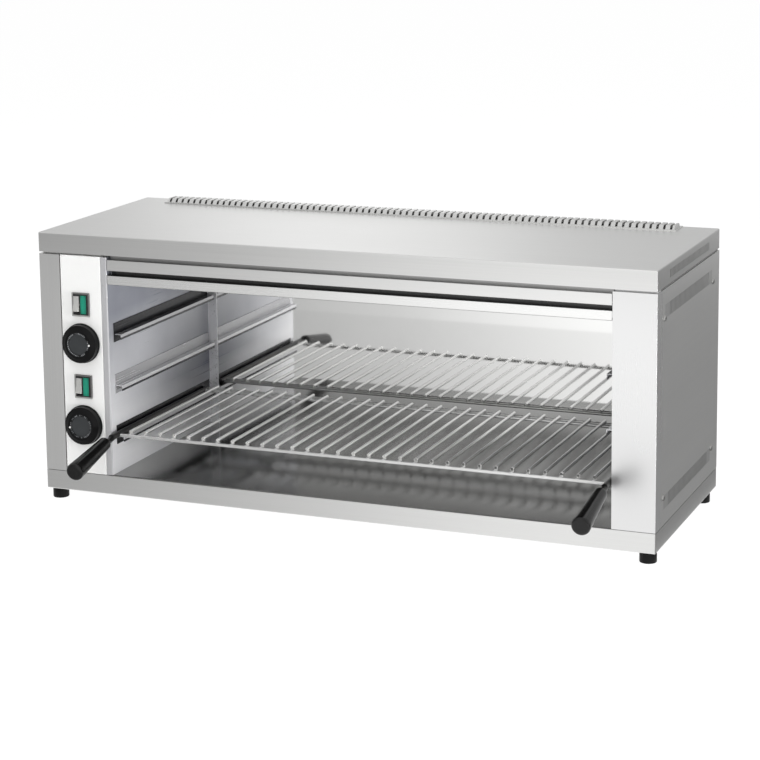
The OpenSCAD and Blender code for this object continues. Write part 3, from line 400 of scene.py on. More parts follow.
@dataclass(frozen=True)
class HotSteel(Finish):
    """Steel that heat has darkened, with uneven straw and blue tints."""

    tone: Colour = (0.10, 0.10, 0.10)
    tint: Colour = (0.17, 0.13, 0.10)
    roughness: float = 0.38

    def sockets(self, g: Graph) -> dict:
        """Clouds shift the colour and the gloss; fine scale roughens the surface."""
        clouds = g.noise((28.0, 11.0, 28.0), 4.0, 0.6)
        scale = g.noise((900.0, 500.0, 900.0), 3.0, 0.7)
        return {
            "Base Color": g.mixed(((clouds - 0.4) * 2.5).clipped(), self.tone, self.tint),
            "Metallic": 0.9, "Roughness": (self.roughness + (scale - 0.5) * 0.3).clipped(0.1, 0.9),
            "Normal": g.raised(scale, 0.25, 0.05)}


@dataclass(frozen=True)
class Moulded(Finish):
    """Moulded plastic, rubber or ceramic with a fine eroded grain."""

    colour: Colour = (0.012, 0.012, 0.012)
    worn: Colour = (0.03, 0.03, 0.03)
    roughness: float = 0.35
    grain: float = 0.18
    grain_scale: float = 1500.0
    coat: float = 0.0
    specular: float = 0.5

    def sockets(self, g: Graph) -> dict:
        """Fine grain gives the relief; soft clouds vary colour and gloss as handling does."""
        grain = g.noise(self.grain_scale, 2.0, 0.6)
        clouds = g.noise(45.0, 4.0, 0.6)
        handled = ((clouds - 0.42) * 2.2).clipped()
        gloss = self.roughness + (handled - 0.5) * 0.12 + (grain - 0.5) * 0.1
        return {
            "Base Color": self.shaded(g, g.mixed(handled, self.colour, self.worn)),
            "Roughness": gloss.clipped(0.05, 1.0),
            "Coat Weight": self.coat, "Coat Roughness": 0.12, "Specular IOR Level": self.specular,
            "Normal": g.raised(grain, self.grain, 0.06)}


@dataclass(frozen=True)
class FrameMoulding(Moulded):
    """Black switch frame with a painted highlight: its outer rim is grey, most on its left and lower sides.
    """

    centre: Pair = (0.0, 0.0)
    half: Pair = (12.75, 15.5)
    rim_mm: float = 1.9

    def shaded(self, g: Graph, colour: Signal) -> Signal:
        """Paints the highlight: greys the rim by its distance from the frame's centre."""
        x, z = g.offsets(self.centre)
        wide, high = (size - self.rim_mm for size in self.half)
        rim = 1.0 - (abs(x) < wide) * (abs(z) < high)
        # Painted highlight, strongest on the left and lower sides of the rim.
        painted_light = (x < -wide) + (z < -high) * 0.6
        return g.mixed((rim * 0.3 + painted_light).clipped(0.0, 0.9), colour, (0.36, 0.36, 0.35))


@dataclass(frozen=True)
class KnobMoulding(Finish):
    """Knob plastic with a painted highlight round its disc: a light ring of short strokes on the face's rim.
    """

    centre: Pair = (0.0, 0.0)
    colour: Colour = (0.002, 0.002, 0.0022)
    sheen: Colour = (0.004, 0.004, 0.0043)
    # Colour of the painted highlight on the face's rim.
    rim_highlight: Colour = (0.26, 0.27, 0.28)
    ring: Pair = (13.8, 15.5)
    strokes: int = 40
    stroke_share: float = 0.62
    face_y: float = -12.0

    def sockets(self, g: Graph) -> dict:
        """The strokes of the painted highlight are drawn by radius and angle about the knob's centre, on its
        front ring only.
        """
        x, z = g.offsets(self.centre)
        radius = (x * x + z * z) ** 0.5
        turn = (z.angle_to(x) * (self.strokes / math.tau)).fraction()
        band = radius.within(*self.ring) * (g.coordinate(Axis.Y) < self.face_y)
        # Noise breaks the painted highlight into short arcs.
        worn = ((g.noise(210.0, 2.0, 0.5) - 0.40) * 5.0).clipped()
        stroke = band * (turn < self.stroke_share) * worn
        grain = g.noise(1400.0, 2.0, 0.6)
        clouds = g.noise(60.0, 3.0, 0.6)
        body = g.mixed(((clouds - 0.4) * 2).clipped(), self.colour, self.sheen)
        return {
            "Base Color": g.mixed(stroke * 0.9, body, self.rim_highlight),
            "Roughness": (0.33 + (clouds - 0.5) * 0.12 + stroke * 0.2).clipped(0.1, 1.0),
            "Specular IOR Level": 0.2,
            "Normal": g.raised(grain, 0.15, 0.05)}


@dataclass(frozen=True)
class LampLens(Finish):
    """Clear green lens, fluted on its inner side, with painted light: brighter green at its centre, darker
    towards its rim.
    """

    colour: Colour = (0.001, 0.11, 0.07)
    # Colour of the painted light at the lens's centre.
    painted_light: Colour = (0.003, 0.27, 0.17)
    centre: Pair = (0.0, 0.0)
    half: Pair = (4.0, 11.0)
    flutes: float = 160.0

    def sockets(self, g: Graph) -> dict:
        """Flutes, and painted light by the distance from the centre, set the green, under a glossy outer
        skin.
        """
        flutes = g.node("ShaderNodeTexWave", {"bands_direction": "Z"},
                        {"Vector": g.position(), "Scale": self.flutes, "Distortion": 0.0})
        x, z = (offset / size for offset, size in zip(g.offsets(self.centre), self.half))
        # Painted light: brightest at the centre, darker towards the rim.
        clear = (1.15 - x * x * 0.9 - z * z * z * z * 0.7).clipped()
        return {
            "Base Color": g.mixed(clear * (0.8 + flutes * 0.2), self.colour, self.painted_light),
            "Roughness": 0.22 + flutes * 0.05, "Coat Weight": 0.3, "Coat Roughness": 0.05,
            "Specular IOR Level": 0.35,
            "Normal": g.raised(flutes, 0.05, 0.1)}


@dataclass(frozen=True)
class Fibre(Finish):
    """Mineral wool or woven sleeve: tangled fibres over a base colour."""

    colour: Colour = (0.55, 0.50, 0.38)
    deep: Colour = (0.30, 0.27, 0.20)
    scale: float = 300.0
    depth_mm: float = 0.8

    def sockets(self, g: Graph) -> dict:
        """Tangled noise sets colour and relief."""
        tangle = g.noise((self.scale, self.scale * 0.4, self.scale), 6.0, 0.7)
        return {
            "Base Color": g.mixed(tangle, self.deep, self.colour), "Roughness": 0.92,
            "Normal": g.raised(tangle, 0.6, self.depth_mm)}


def runner_steel(level: str, ledge: float, plate: float, lip: float) -> BrushedSteel:
    """Steel of one pair of bent runners, whose ledges are bright between plates on the walls that carry
    painted shade.

    Args:
        level: which pair it is.
        ledge: height of the ledges in millimetres.
        plate: how dark the painted shade on the plates is.
        lip: how dark the painted shade on the ledges is, above the painted shadow at the foot of their lips.

    Returns:
        The finish.
    """
    inner = left, right = -309.4, 354.1
    # Painted shade on the plates, on the ledges and, darkest, at the foot of each lip below its lit top.
    lit_mm, foot = 4.0, 0.93
    zones = (Zone(plate, x=(-FAR_MM, left)), Zone(plate, x=(right, FAR_MM)), Zone(lip, x=inner),
             Zone(foot - lip, x=inner, z=(-FAR_MM, ledge - lit_mm)))
    return BrushedSteel(f"runner_steel_{level}", "liner_steel", Axis.Y, tone=(0.80, 0.80, 0.82),
                        roughness=0.25, contrast=0.03, metallic=0.6, zones=zones,
                        painted_shade=(0.015, 0.015, 0.018))


class Finishes:
    """Every finish of the object, with the zones in which sheets are dull or dark; the darkening is painted
    shade.
    """

    # Painted shade: these zones darken the cover's end faces, the rails behind their front faces, the slot
    # bands and top seam of the sides, the mirror wall's rear, the liner's front flange and the rack's front
    # bar; the mirror's rear is also rougher.
    SHADED_END_FACES = (Zone(0.22, x=(-FAR_MM, -409.4)), Zone(0.22, x=(409.4, FAR_MM)))
    SHADED_GAPS = (Zone(0.55, y=(1.1, FAR_MM)), Zone(0.40, y=(1.1, FAR_MM), z=(-FAR_MM, 309.0)))
    SHADED_BANDS_AND_SEAM = (Zone(0.2, y=(34.0, 262.0), z=(45.0, 61.5)),
                      Zone(0.2, y=(34.0, 262.0), z=(277.0, 293.5)), Zone(0.9, z=(312.6, FAR_MM)))
    SHADED_REAR_SIDE = (Zone(0.85, y=(286.5, FAR_MM), rough=0.4),)
    SHADED_FRONT_FLANGE = (Zone(0.42, y=(-FAR_MM, LinerSteel.front_mm)),)
    SHADED_FRONT_BAR = (Zone(0.4, y=(-FAR_MM, 7.3)),)

    # Painted light and shade: these sheets are one brushed steel, and their different tones are lit and
    # shaded copies of it.
    CASING = BrushedSteel("casing_steel_along_x", "casing_steel", zones=SHADED_END_FACES)
    VENT = BrushedSteel("vent_steel_along_x", "casing_steel", tone=(0.76, 0.76, 0.75), zones=SHADED_END_FACES)
    RAIL = BrushedSteel("rail_steel_along_x", "casing_steel", tone=(0.86, 0.86, 0.85), zones=SHADED_GAPS,
                        painted_shade=grey(0.04))
    SIDE = BrushedSteel("casing_steel_along_y", "casing_steel", Axis.Y, zones=SHADED_BANDS_AND_SEAM,
                        painted_shade=grey(0.05))
    POST = BrushedSteel("casing_steel_along_z", "casing_steel", Axis.Z, tone=(0.89, 0.89, 0.88))
    LOWER_RAIL = BrushedSteel("front_steel_along_x", "front_steel", tone=(0.93, 0.93, 0.92),
                              roughness=0.26, zones=SHADED_GAPS, painted_shade=grey(0.04))
    RIGHT_FRONT = BrushedSteel("front_steel_along_z", "front_steel", Axis.Z, tone=grey(0.80),
                               roughness=0.28, contrast=0.004, scratch=0.01, spread=0.03)
    PANEL = Moulded("front_panel_satin", "front_steel", colour=(0.87, 0.87, 0.86),
                    worn=(0.85, 0.85, 0.84), roughness=0.38, grain=0.05, grain_scale=900.0)
    LINER = LinerSteel("liner_steel", "liner_steel", Axis.Y, tone=(0.88, 0.88, 0.90), roughness=0.30,
                       contrast=0.03, metallic=0.4, zones=SHADED_FRONT_FLANGE, painted_shade=(0.06, 0.06, 0.065))
    # Painted shade of each pair of runners: height of the ledges, darkness of the plates and of the ledges.
    RUNNERS = {row[0]: runner_steel(*row) for row in (
        ("lower", 75.4, 0.97, 0.0), ("middle", 142.9, 0.4, 0.0), ("upper", 210.4, 1.0, 0.4))}
    CEILING = HotSteel("ceiling_steel", tone=grey(0.20), tint=(0.27, 0.25, 0.23), roughness=0.5)
    FLOOR = FloorSteel("floor_steel", "floor_steel", tone=(0.235, 0.235, 0.23), roughness=0.115, wave=0.02)
    MIRROR = PolishedSteel("mirror_steel", tone=(0.88, 0.88, 0.87), roughness=0.035, wave=0.02,
                           haze=0.02, zones=SHADED_REAR_SIDE, painted_shade=grey(0.06))
    CHROME = RackChrome("rack_chrome", "rack_chrome", tone=(0.96, 0.96, 0.95), roughness=0.09, wave=0.05,
                        wave_scale=300.0, haze=0.06, metallic=0.52, zones=SHADED_FRONT_BAR, painted_shade=grey(0.20))
    SCREW = PolishedSteel("screw_steel", "screw_steel", tone=(0.42, 0.42, 0.41), roughness=0.28, wave=0.1,
                          wave_scale=400.0, haze=0.12)
    ROD = HotSteel("rod_dark_steel", "rod_dark_steel", tone=grey(0.06), tint=(0.09, 0.085, 0.08),
                   roughness=0.32)
    ELEMENT = HotSteel("element_steel", tone=(0.035, 0.034, 0.033), tint=(0.07, 0.055, 0.045),
                       roughness=0.5)
    BRASS = PolishedSteel("bushing_brass", tone=(0.20, 0.14, 0.06), roughness=0.4, wave_scale=200.0,
                          haze=0.1)
    GRIP = Moulded("grip_plastic", "grip_plastic", colour=grey(0.003), worn=grey(0.006), roughness=0.24,
                   grain=0.10, specular=0.38)
    DISC = Moulded("knob_disc_plastic", "knob_disc_plastic", colour=(0.030, 0.033, 0.035),
                   worn=(0.042, 0.045, 0.048), roughness=0.5, grain=0.12, specular=0.35)
    CONTROL = Moulded("control_plastic", worn=(0.024, 0.024, 0.023), specular=0.4)
    ROCKER = Moulded("rocker_grey", "rocker_grey", colour=(0.40, 0.40, 0.39), worn=(0.47, 0.47, 0.45),
                     roughness=0.33, grain=0.08, coat=0.2)
    POINTER = Moulded("pointer_white", colour=(0.86, 0.86, 0.84), worn=(0.75, 0.75, 0.73), roughness=0.5)
    RUBBER = Moulded("foot_rubber", "foot_rubber", colour=grey(0.003), worn=grey(0.006), roughness=0.5,
                     grain=0.4, grain_scale=900.0, specular=0.18)
    CERAMIC = Moulded("block_ceramic", colour=(0.74, 0.71, 0.62), worn=(0.66, 0.63, 0.55), roughness=0.4,
                      grain=0.1)
    WOOL = Fibre("mineral_wool")
    SLEEVE = Fibre("wire_sleeve", colour=(0.55, 0.18, 0.10), deep=(0.30, 0.08, 0.05), scale=1800.0,
                   depth_mm=0.2)


# ---------------- modelling steps


SAME_PLACE = 1e-5
DOUBLES = 2e-6
FLAT_DEGREES = 0.6
SHARP_DEGREES = 40.0


def deselect() -> None:
    """Leaves edit mode and selects nothing."""
    if bpy.context.object and bpy.context.object.mode != "OBJECT":
        bpy.ops.object.mode_set(mode="OBJECT")
    bpy.ops.object.select_all(action="DESELECT")


def hold(piece: Piece) -> None:
    """Makes a piece the only selected and active object."""
    deselect()
    bpy.context.view_layer.objects.active = piece
    piece.select_set(True)


def edit(piece: Piece, action: str = "DESELECT") -> None:
    """Opens a piece for editing with nothing selected, or with all of it."""
    hold(piece)
    bpy.ops.object.mode_set(mode="EDIT")
    bpy.ops.mesh.select_all(action=action)


def choose(piece: Piece, part: Part, keep: Callable[[object], bool]) -> int:
    """Selects parts of the mesh that is being edited.

    Args:
        piece: the object in edit mode.
        part: edges or faces.
        keep: says of one edge or face whether it is chosen.

    Returns:
        How many were chosen.
    """
    mode, items = part.value
    bpy.ops.mesh.select_mode(type=mode)
    bpy.ops.mesh.select_all(action="DESELECT")
    found = [item for item in getattr(bmesh.from_edit_mesh(piece.data), items) if keep(item)]
    for item in found:
        item.select_set(True)
    bmesh.update_edit_mesh(piece.data)
    return len(found)


def choose_end(piece: Piece, y: float) -> None:
    """Opens a piece and selects its end face that looks to the front, at a place along Y in metres."""
    edit(piece)
    choose(piece, Part.FACE,
           lambda face: abs(face.calc_center_median().y - y) < SAME_PLACE and face.normal.y < -0.9)


def extrude(x: float, y: float, z: float) -> None:
    """Extrudes the chosen faces by an offset in metres."""
    bpy.ops.mesh.extrude_region_move(TRANSFORM_OT_translate={"value": (x, y, z)})


def named(name: str) -> Piece:
    """Names the active object and its mesh."""
    piece = bpy.context.object
    piece.name = piece.data.name = name
    return piece


def modified(piece: Piece, kind: str, **settings: object) -> Piece:
    """Adds one modifier with its settings and applies it."""
    hold(piece)
    modifier = piece.modifiers.new(kind.title(), kind)
    for key, value in settings.items():
        setattr(modifier, key, value)
    bpy.ops.object.modifier_apply(modifier=modifier.name)
    return piece


def smoothed(piece: Piece, angle: float = SHARP_DEGREES, weighted: bool = True) -> Piece:
    """Shades a piece smooth below an angle in degrees, with broad faces kept flat."""
    hold(piece)
    bpy.ops.object.shade_smooth_by_angle(angle=math.radians(angle))
    return modified(piece, "WEIGHTED_NORMAL", keep_sharp=True) if weighted else piece


def outwards(piece: Piece) -> Piece:
    """Merges doubles and turns every face outwards."""
    edit(piece, "SELECT")
    bpy.ops.mesh.remove_doubles(threshold=DOUBLES)
    bpy.ops.mesh.normals_make_consistent(inside=False)
    return piece


def applied(piece: Piece) -> Piece:
    """Moves a piece's place, turn and size into its mesh."""
    hold(piece)
    bpy.ops.object.transform_apply(location=True, rotation=True, scale=True)
    return piece


def aim(at: Vector, towards: Vector, forward: str = "Z") -> Matrix:
    """The place of a thing at a point, turned so that its forward axis points a given way."""
    return Matrix.Translation(at) @ towards.to_track_quat(forward, "Y").to_matrix().to_4x4()


def turned(name: str, profile: Sequence[Pair], at: Vector, towards: Vector, sides: int) -> Piece:
    """Turns a solid by extruding and resizing a disc along a profile.

    Args:
        name: the piece's name.
        profile: radius and height of each step in millimetres, from one closed end to the other.
        at: where height 0 lies, in the frame.
        towards: the direction in which the height grows.
        sides: number of sides of the disc.

    Returns:
        The turned piece.
    """
    deselect()
    (radius, height), *steps = profile
    bpy.ops.mesh.primitive_circle_add(vertices=sides, radius=radius * MM, fill_type="NGON")
    piece = named(name)
    bpy.ops.object.mode_set(mode="EDIT")
    bpy.ops.mesh.select_mode(type="FACE")
    bpy.ops.mesh.select_all(action="SELECT")
    bpy.ops.transform.translate(value=(0, 0, height * MM))
    for wider, higher in steps:
        extrude(0, 0, (higher - height) * MM)
        ratio = wider / radius
        bpy.ops.transform.resize(value=(ratio, ratio, 1), center_override=(0, 0, higher * MM))
        radius, height = wider, higher
    piece.matrix_world = aim(at, towards)
    return outwards(applied(piece))


def joined(name: str, pieces: Sequence[Piece]) -> Piece:
    """Joins several meshes into one piece."""
    deselect()
    for piece in pieces:
        piece.select_set(True)
    bpy.context.view_layer.objects.active = pieces[0]
    bpy.ops.object.join()
    return named(name)


def copies(piece: Piece, places: Sequence[Matrix]) -> Piece:
    """Puts a copy with its own mesh at each place and joins them all into the piece."""
    made = []
    for place in places:
        hold(piece)
        bpy.ops.object.duplicate(linked=False)
        twin = bpy.context.object
        twin.matrix_world = place @ twin.matrix_world
        made.append(applied(twin))
    name = piece.name
    bpy.data.objects.remove(piece)
    return joined(name, made)


def dress(piece: Piece, finish: Finish, body: str, node: str) -> None:
    """Gives a new piece its finish and its body, and hides the CAD node that it stands for."""
    piece.data.materials.clear()
    piece.data.materials.append(finish.build())
    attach(piece, body)
    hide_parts(node)
    LOG.info("%s: %d faces on %s", piece.name, len(piece.data.polygons), body)


def repaint(node: str, finish: Finish) -> None:
    """Gives a CAD node that stays its procedural finish."""
    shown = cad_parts[node]
    if not shown.material_slots:
        shown.data.materials.append(None)
    for slot in shown.material_slots:
        slot.material = finish.build()
    LOG.info("%s keeps its CAD shape", node)


def box_side(node: str, side: str) -> tuple[int, float]:
    """Axis number and place of one side of a node's box, such as "y-"."""
    axis = "xyz".index(side[0])
    return axis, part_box(node)[side[1] == "+"][axis]


def refined(node: str, edge_mm: float, finish: Finish, body: str = "casing", segments: int = 2,
            folds: Sequence[str] = (), fold_mm: float = 0.0) -> None:
    """Replaces a CAD node with a finer piece: merged, with real fold radii and broken edges.

    Args:
        node: the CAD node it stands for.
        edge_mm: radius on every sharp edge.
        finish: the finish of the piece.
        body: the body it moves with.
        segments: faces across a broken edge.
        folds: outer edges that are folds, each named by two sides of the node's box, such as "y-z+".
        fold_mm: outer radius of those folds.
    """
    piece = bpy.data.objects.new(f"{node}_finished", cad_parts[node].data.copy())
    bpy.context.scene.collection.objects.link(piece)
    edit(piece)
    bpy.ops.mesh.customdata_custom_splitnormals_clear()
    bpy.ops.mesh.select_all(action="SELECT")
    bpy.ops.mesh.remove_doubles(threshold=SAME_PLACE)
    bpy.ops.mesh.dissolve_limited(angle_limit=math.radians(FLAT_DEGREES))
    pairs = [(box_side(node, fold[:2]), box_side(node, fold[2:])) for fold in folds]

    def on_fold(edge: bmesh.types.BMEdge) -> bool:
        """Whether both ends of an edge lie on both sides that a fold names."""
        return any(all(abs(v.co[axis] - place) < 3 * SAME_PLACE for v in edge.verts for axis, place in pair)
                   for pair in pairs)

    if folds and choose(piece, Part.EDGE, on_fold):
        bpy.ops.mesh.bevel(offset=fold_mm * MM, segments=4, affect="EDGES", clamp_overlap=True)
    modified(piece, "BEVEL", width=edge_mm * MM, segments=segments, limit_method="ANGLE",
             angle_limit=math.radians(SHARP_DEGREES), use_clamp_overlap=True)
    dress(smoothed(piece), finish, body, node)


# ---------------- sub-assemblies


@dataclass
class Casing:
    """Outer sheets, rails, vent strip, feet and screws."""

    edge_mm: float = 0.3
    fold_mm: float = 1.5
    body: str = "casing"
    screw_side_x: float = 410.0
    screw_ys: Pair = (31.6, 266.0)
    screw_zs: Pair = (60.5, 278.0)
    back_y: float = 300.0
    back_xs: tuple[float, ...] = (-340.0, -113.333, 113.333, 340.0)
    back_zs: Pair = (31.0, 327.5)
    recess_mm: tuple[float, float, float] = (4.2, 0.85, 1.7)
    recess_z: float = 1.95
    side_turns: Pair = (0.4, 1.1)
    back_turns: Pair = (0.3, 0.9)
    foot_x: float = 397.5
    foot_ys: Pair = (14.0, 274.0)

    def build(self) -> None:
        """Makes every outer piece."""
        self.sheets()
        self.fasteners()
        self.rubber_feet()

    def sheets(self) -> None:
        """Folded sheets with their fold radii and broken edges."""
        corners = ("x-y-", "x+y-", "x-y+", "x+y+")
        top = ("x-z+", "x+z+", "y-z+", "y+z+")
        bottom = ("x-z-", "x+z-", "y-z-", "y+z-")
        for node, finish, folds in (
                ("base_tray", Finishes.CASING, corners + top + bottom),
                ("top_cover", Finishes.CASING, corners + top),
                ("left_corner_post", Finishes.POST, ("x-y-", "y-z+")),
                ("right_front_panel", Finishes.RIGHT_FRONT, ("x+y-", "y-z+")),
                ("control_panel", Finishes.PANEL, ("x-y-", "x+y-", "y-z+")),
                ("front_upper_rail", Finishes.RAIL, ("y-z+", "y-z-")),
                ("front_lower_rail", Finishes.LOWER_RAIL, ("y-z+", "y-z-")),
                ("left_side_panel", Finishes.SIDE, ()),
                ("right_side_panel", Finishes.SIDE, ()),
                ("back_panel", Finishes.CASING, ()),
                ("rear_vent_strip", Finishes.VENT, ())):
            refined(node, self.edge_mm, finish, self.body, folds=folds, fold_mm=self.fold_mm)

    def pan_head(self, name: str) -> Piece:
        """One pan-head screw along +Z with a cross recess, its head's seat at height 0."""
        profile = ((1.6, -7.9), (2.0, -7.4), (2.0, 0.0), (4.0, 0.0), (4.0, 0.5), (3.85, 1.0), (3.45, 1.55),
                   (2.7, 1.95), (1.6, 2.15), (0.6, 2.2))
        screw = turned(name, profile, Vector(), UP, sides=32)
        for turn in (0.0, math.pi / 2):
            deselect()
            bpy.ops.mesh.primitive_cube_add(size=1, location=(0, 0, self.recess_z * MM),
                                            rotation=(0, 0, turn), scale=Vector(self.recess_mm) * MM)
            cutter = applied(named(f"{name}_cutter"))
            modified(screw, "BOOLEAN", object=cutter, operation="DIFFERENCE", solver="EXACT")
            bpy.data.objects.remove(cutter)
        return smoothed(screw, 35)

    def fasteners(self) -> None:
        """Screws in the sides and in the back, each turned a step further than the last."""
        sides = [(spot(side * self.screw_side_x, y, z), RIGHT * side)
                 for side in (-1, 1) for y, z in product(self.screw_ys, self.screw_zs)]
        back = [(spot(x, self.back_y, z), BACK) for x, z in product(self.back_xs, self.back_zs)]
        for node, seats, (first, step), row in (("side_screws", sides, self.side_turns, len(sides) // 2),
                                                ("back_screws", back, self.back_turns, len(back))):
            places = [aim(at, towards) @ Matrix.Rotation(first + step * (number % row), 4, "Z")
                      for number, (at, towards) in enumerate(seats)]
            dress(copies(self.pan_head(f"{node}_finished"), places), Finishes.SCREW, self.body, node)
        repaint("foot_screws", Finishes.SCREW)

    def rubber_feet(self) -> None:
        """Turned rubber feet, each with a chamfered tread, a waist and a recess for its bolt."""
        profile = ((4.9, -9.6), (4.9, -13.5), (5.4, -14.0), (9.3, -14.0), (10.1, -13.7), (10.5, -12.9),
                   (10.5, -3.4), (10.2, -2.8), (10.2, -1.9), (10.5, -1.3), (10.3, -0.5), (9.8, 0.0))
        for end, y in zip(("front", "rear"), self.foot_ys):
            for side, x in (("left", -self.foot_x), ("right", self.foot_x)):
                node = f"foot_{end}_{side}"
                foot = turned(f"{node}_finished", profile, spot(x, y, 0), UP, sides=48)
                dress(smoothed(foot, 35), Finishes.RUBBER, self.body, node)


@dataclass
class Controls:
    """Knobs, their discs and pointers, the switches, and what lies behind the panel."""

    knob_edge: float = 0.35
    disc_edge: float = 0.3
    frame_edge: float = 0.6
    rocker_edge: float = 0.5

    def build(self) -> None:
        """Makes both sets of controls."""
        for side in ("upper", "lower"):
            self.knob(side)
            self.switch(side)
            repaint(f"{side}_regulator", Finishes.CONTROL)
            repaint(f"{side}_shaft", Finishes.SCREW)
            repaint(f"{side}_knob_pointer", Finishes.POINTER)

    def knob(self, side: str) -> None:
        """Knob with a rounded skirt and a conical body, and the dark disc in its face."""
        knob = f"{side}_knob"
        plastic = KnobMoulding(f"{knob}_plastic", "knob_plastic", self.middle(knob)["centre"])
        refined(knob, self.knob_edge, plastic, f"{side}_control", segments=3)
        refined(f"{knob}_disc", self.disc_edge, Finishes.DISC, f"{side}_control")

    @staticmethod
    def middle(node: str) -> dict[str, Pair]:
        """Centre and half size of a node across the panel, in the casing's millimetres."""
        low, high = (corner - spot(0, 0, 0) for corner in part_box(node))
        centre, half = (high + low) / 2 / MM, (high - low) / 2 / MM
        return {"centre": (centre.x, centre.z), "half": (half.x, half.z)}

    def switch(self, side: str) -> None:
        """Switch frame, rocker and lens with soft moulded edges."""
        switch, lens = f"{side}_switch", f"{side}_lamp_lens"
        plastic = FrameMoulding(f"{side}_switch_frame", "control_plastic", worn=grey(0.020), specular=0.4,
                                **self.middle(switch))
        green = LampLens(f"{lens}_green", "lens_green", **self.middle(lens))
        refined(switch, self.frame_edge, plastic, segments=3)
        refined(f"{side}_rocker", self.rocker_edge, Finishes.ROCKER, f"{switch}_rocker", segments=3)
        refined(lens, self.frame_edge, green, segments=3)


@dataclass
class Cavity:
    """Liner, mirror-like back wall, runners, elements and the hidden parts round them."""

    edge_mm: float = 0.25

    def build(self) -> None:
        """Makes the inside pieces and finishes the hidden ones."""
        for side in ("left", "right"):
            refined(f"cavity_{side}_wall", self.edge_mm, Finishes.LINER)
            for level, steel in Finishes.RUNNERS.items():
                refined(f"runner_{side}_{level}", self.edge_mm, steel)
        refined("cavity_floor", self.edge_mm, Finishes.FLOOR)
        for node, finish in (
                ("cavity_mirror_back", Finishes.MIRROR), ("cavity_ceiling", Finishes.CEILING),
                ("element_hangers", Finishes.ELEMENT), ("ceiling_insulation", Finishes.WOOL),
                ("front_heating_element", Finishes.ELEMENT), ("rear_heating_element", Finishes.ELEMENT),
                ("element_bushings", Finishes.BRASS), ("terminal_block", Finishes.CERAMIC),
                ("wiring", Finishes.SLEEVE), ("cable_gland", Finishes.CONTROL),
                ("earth_stud", Finishes.SCREW)):
            repaint(node, finish)


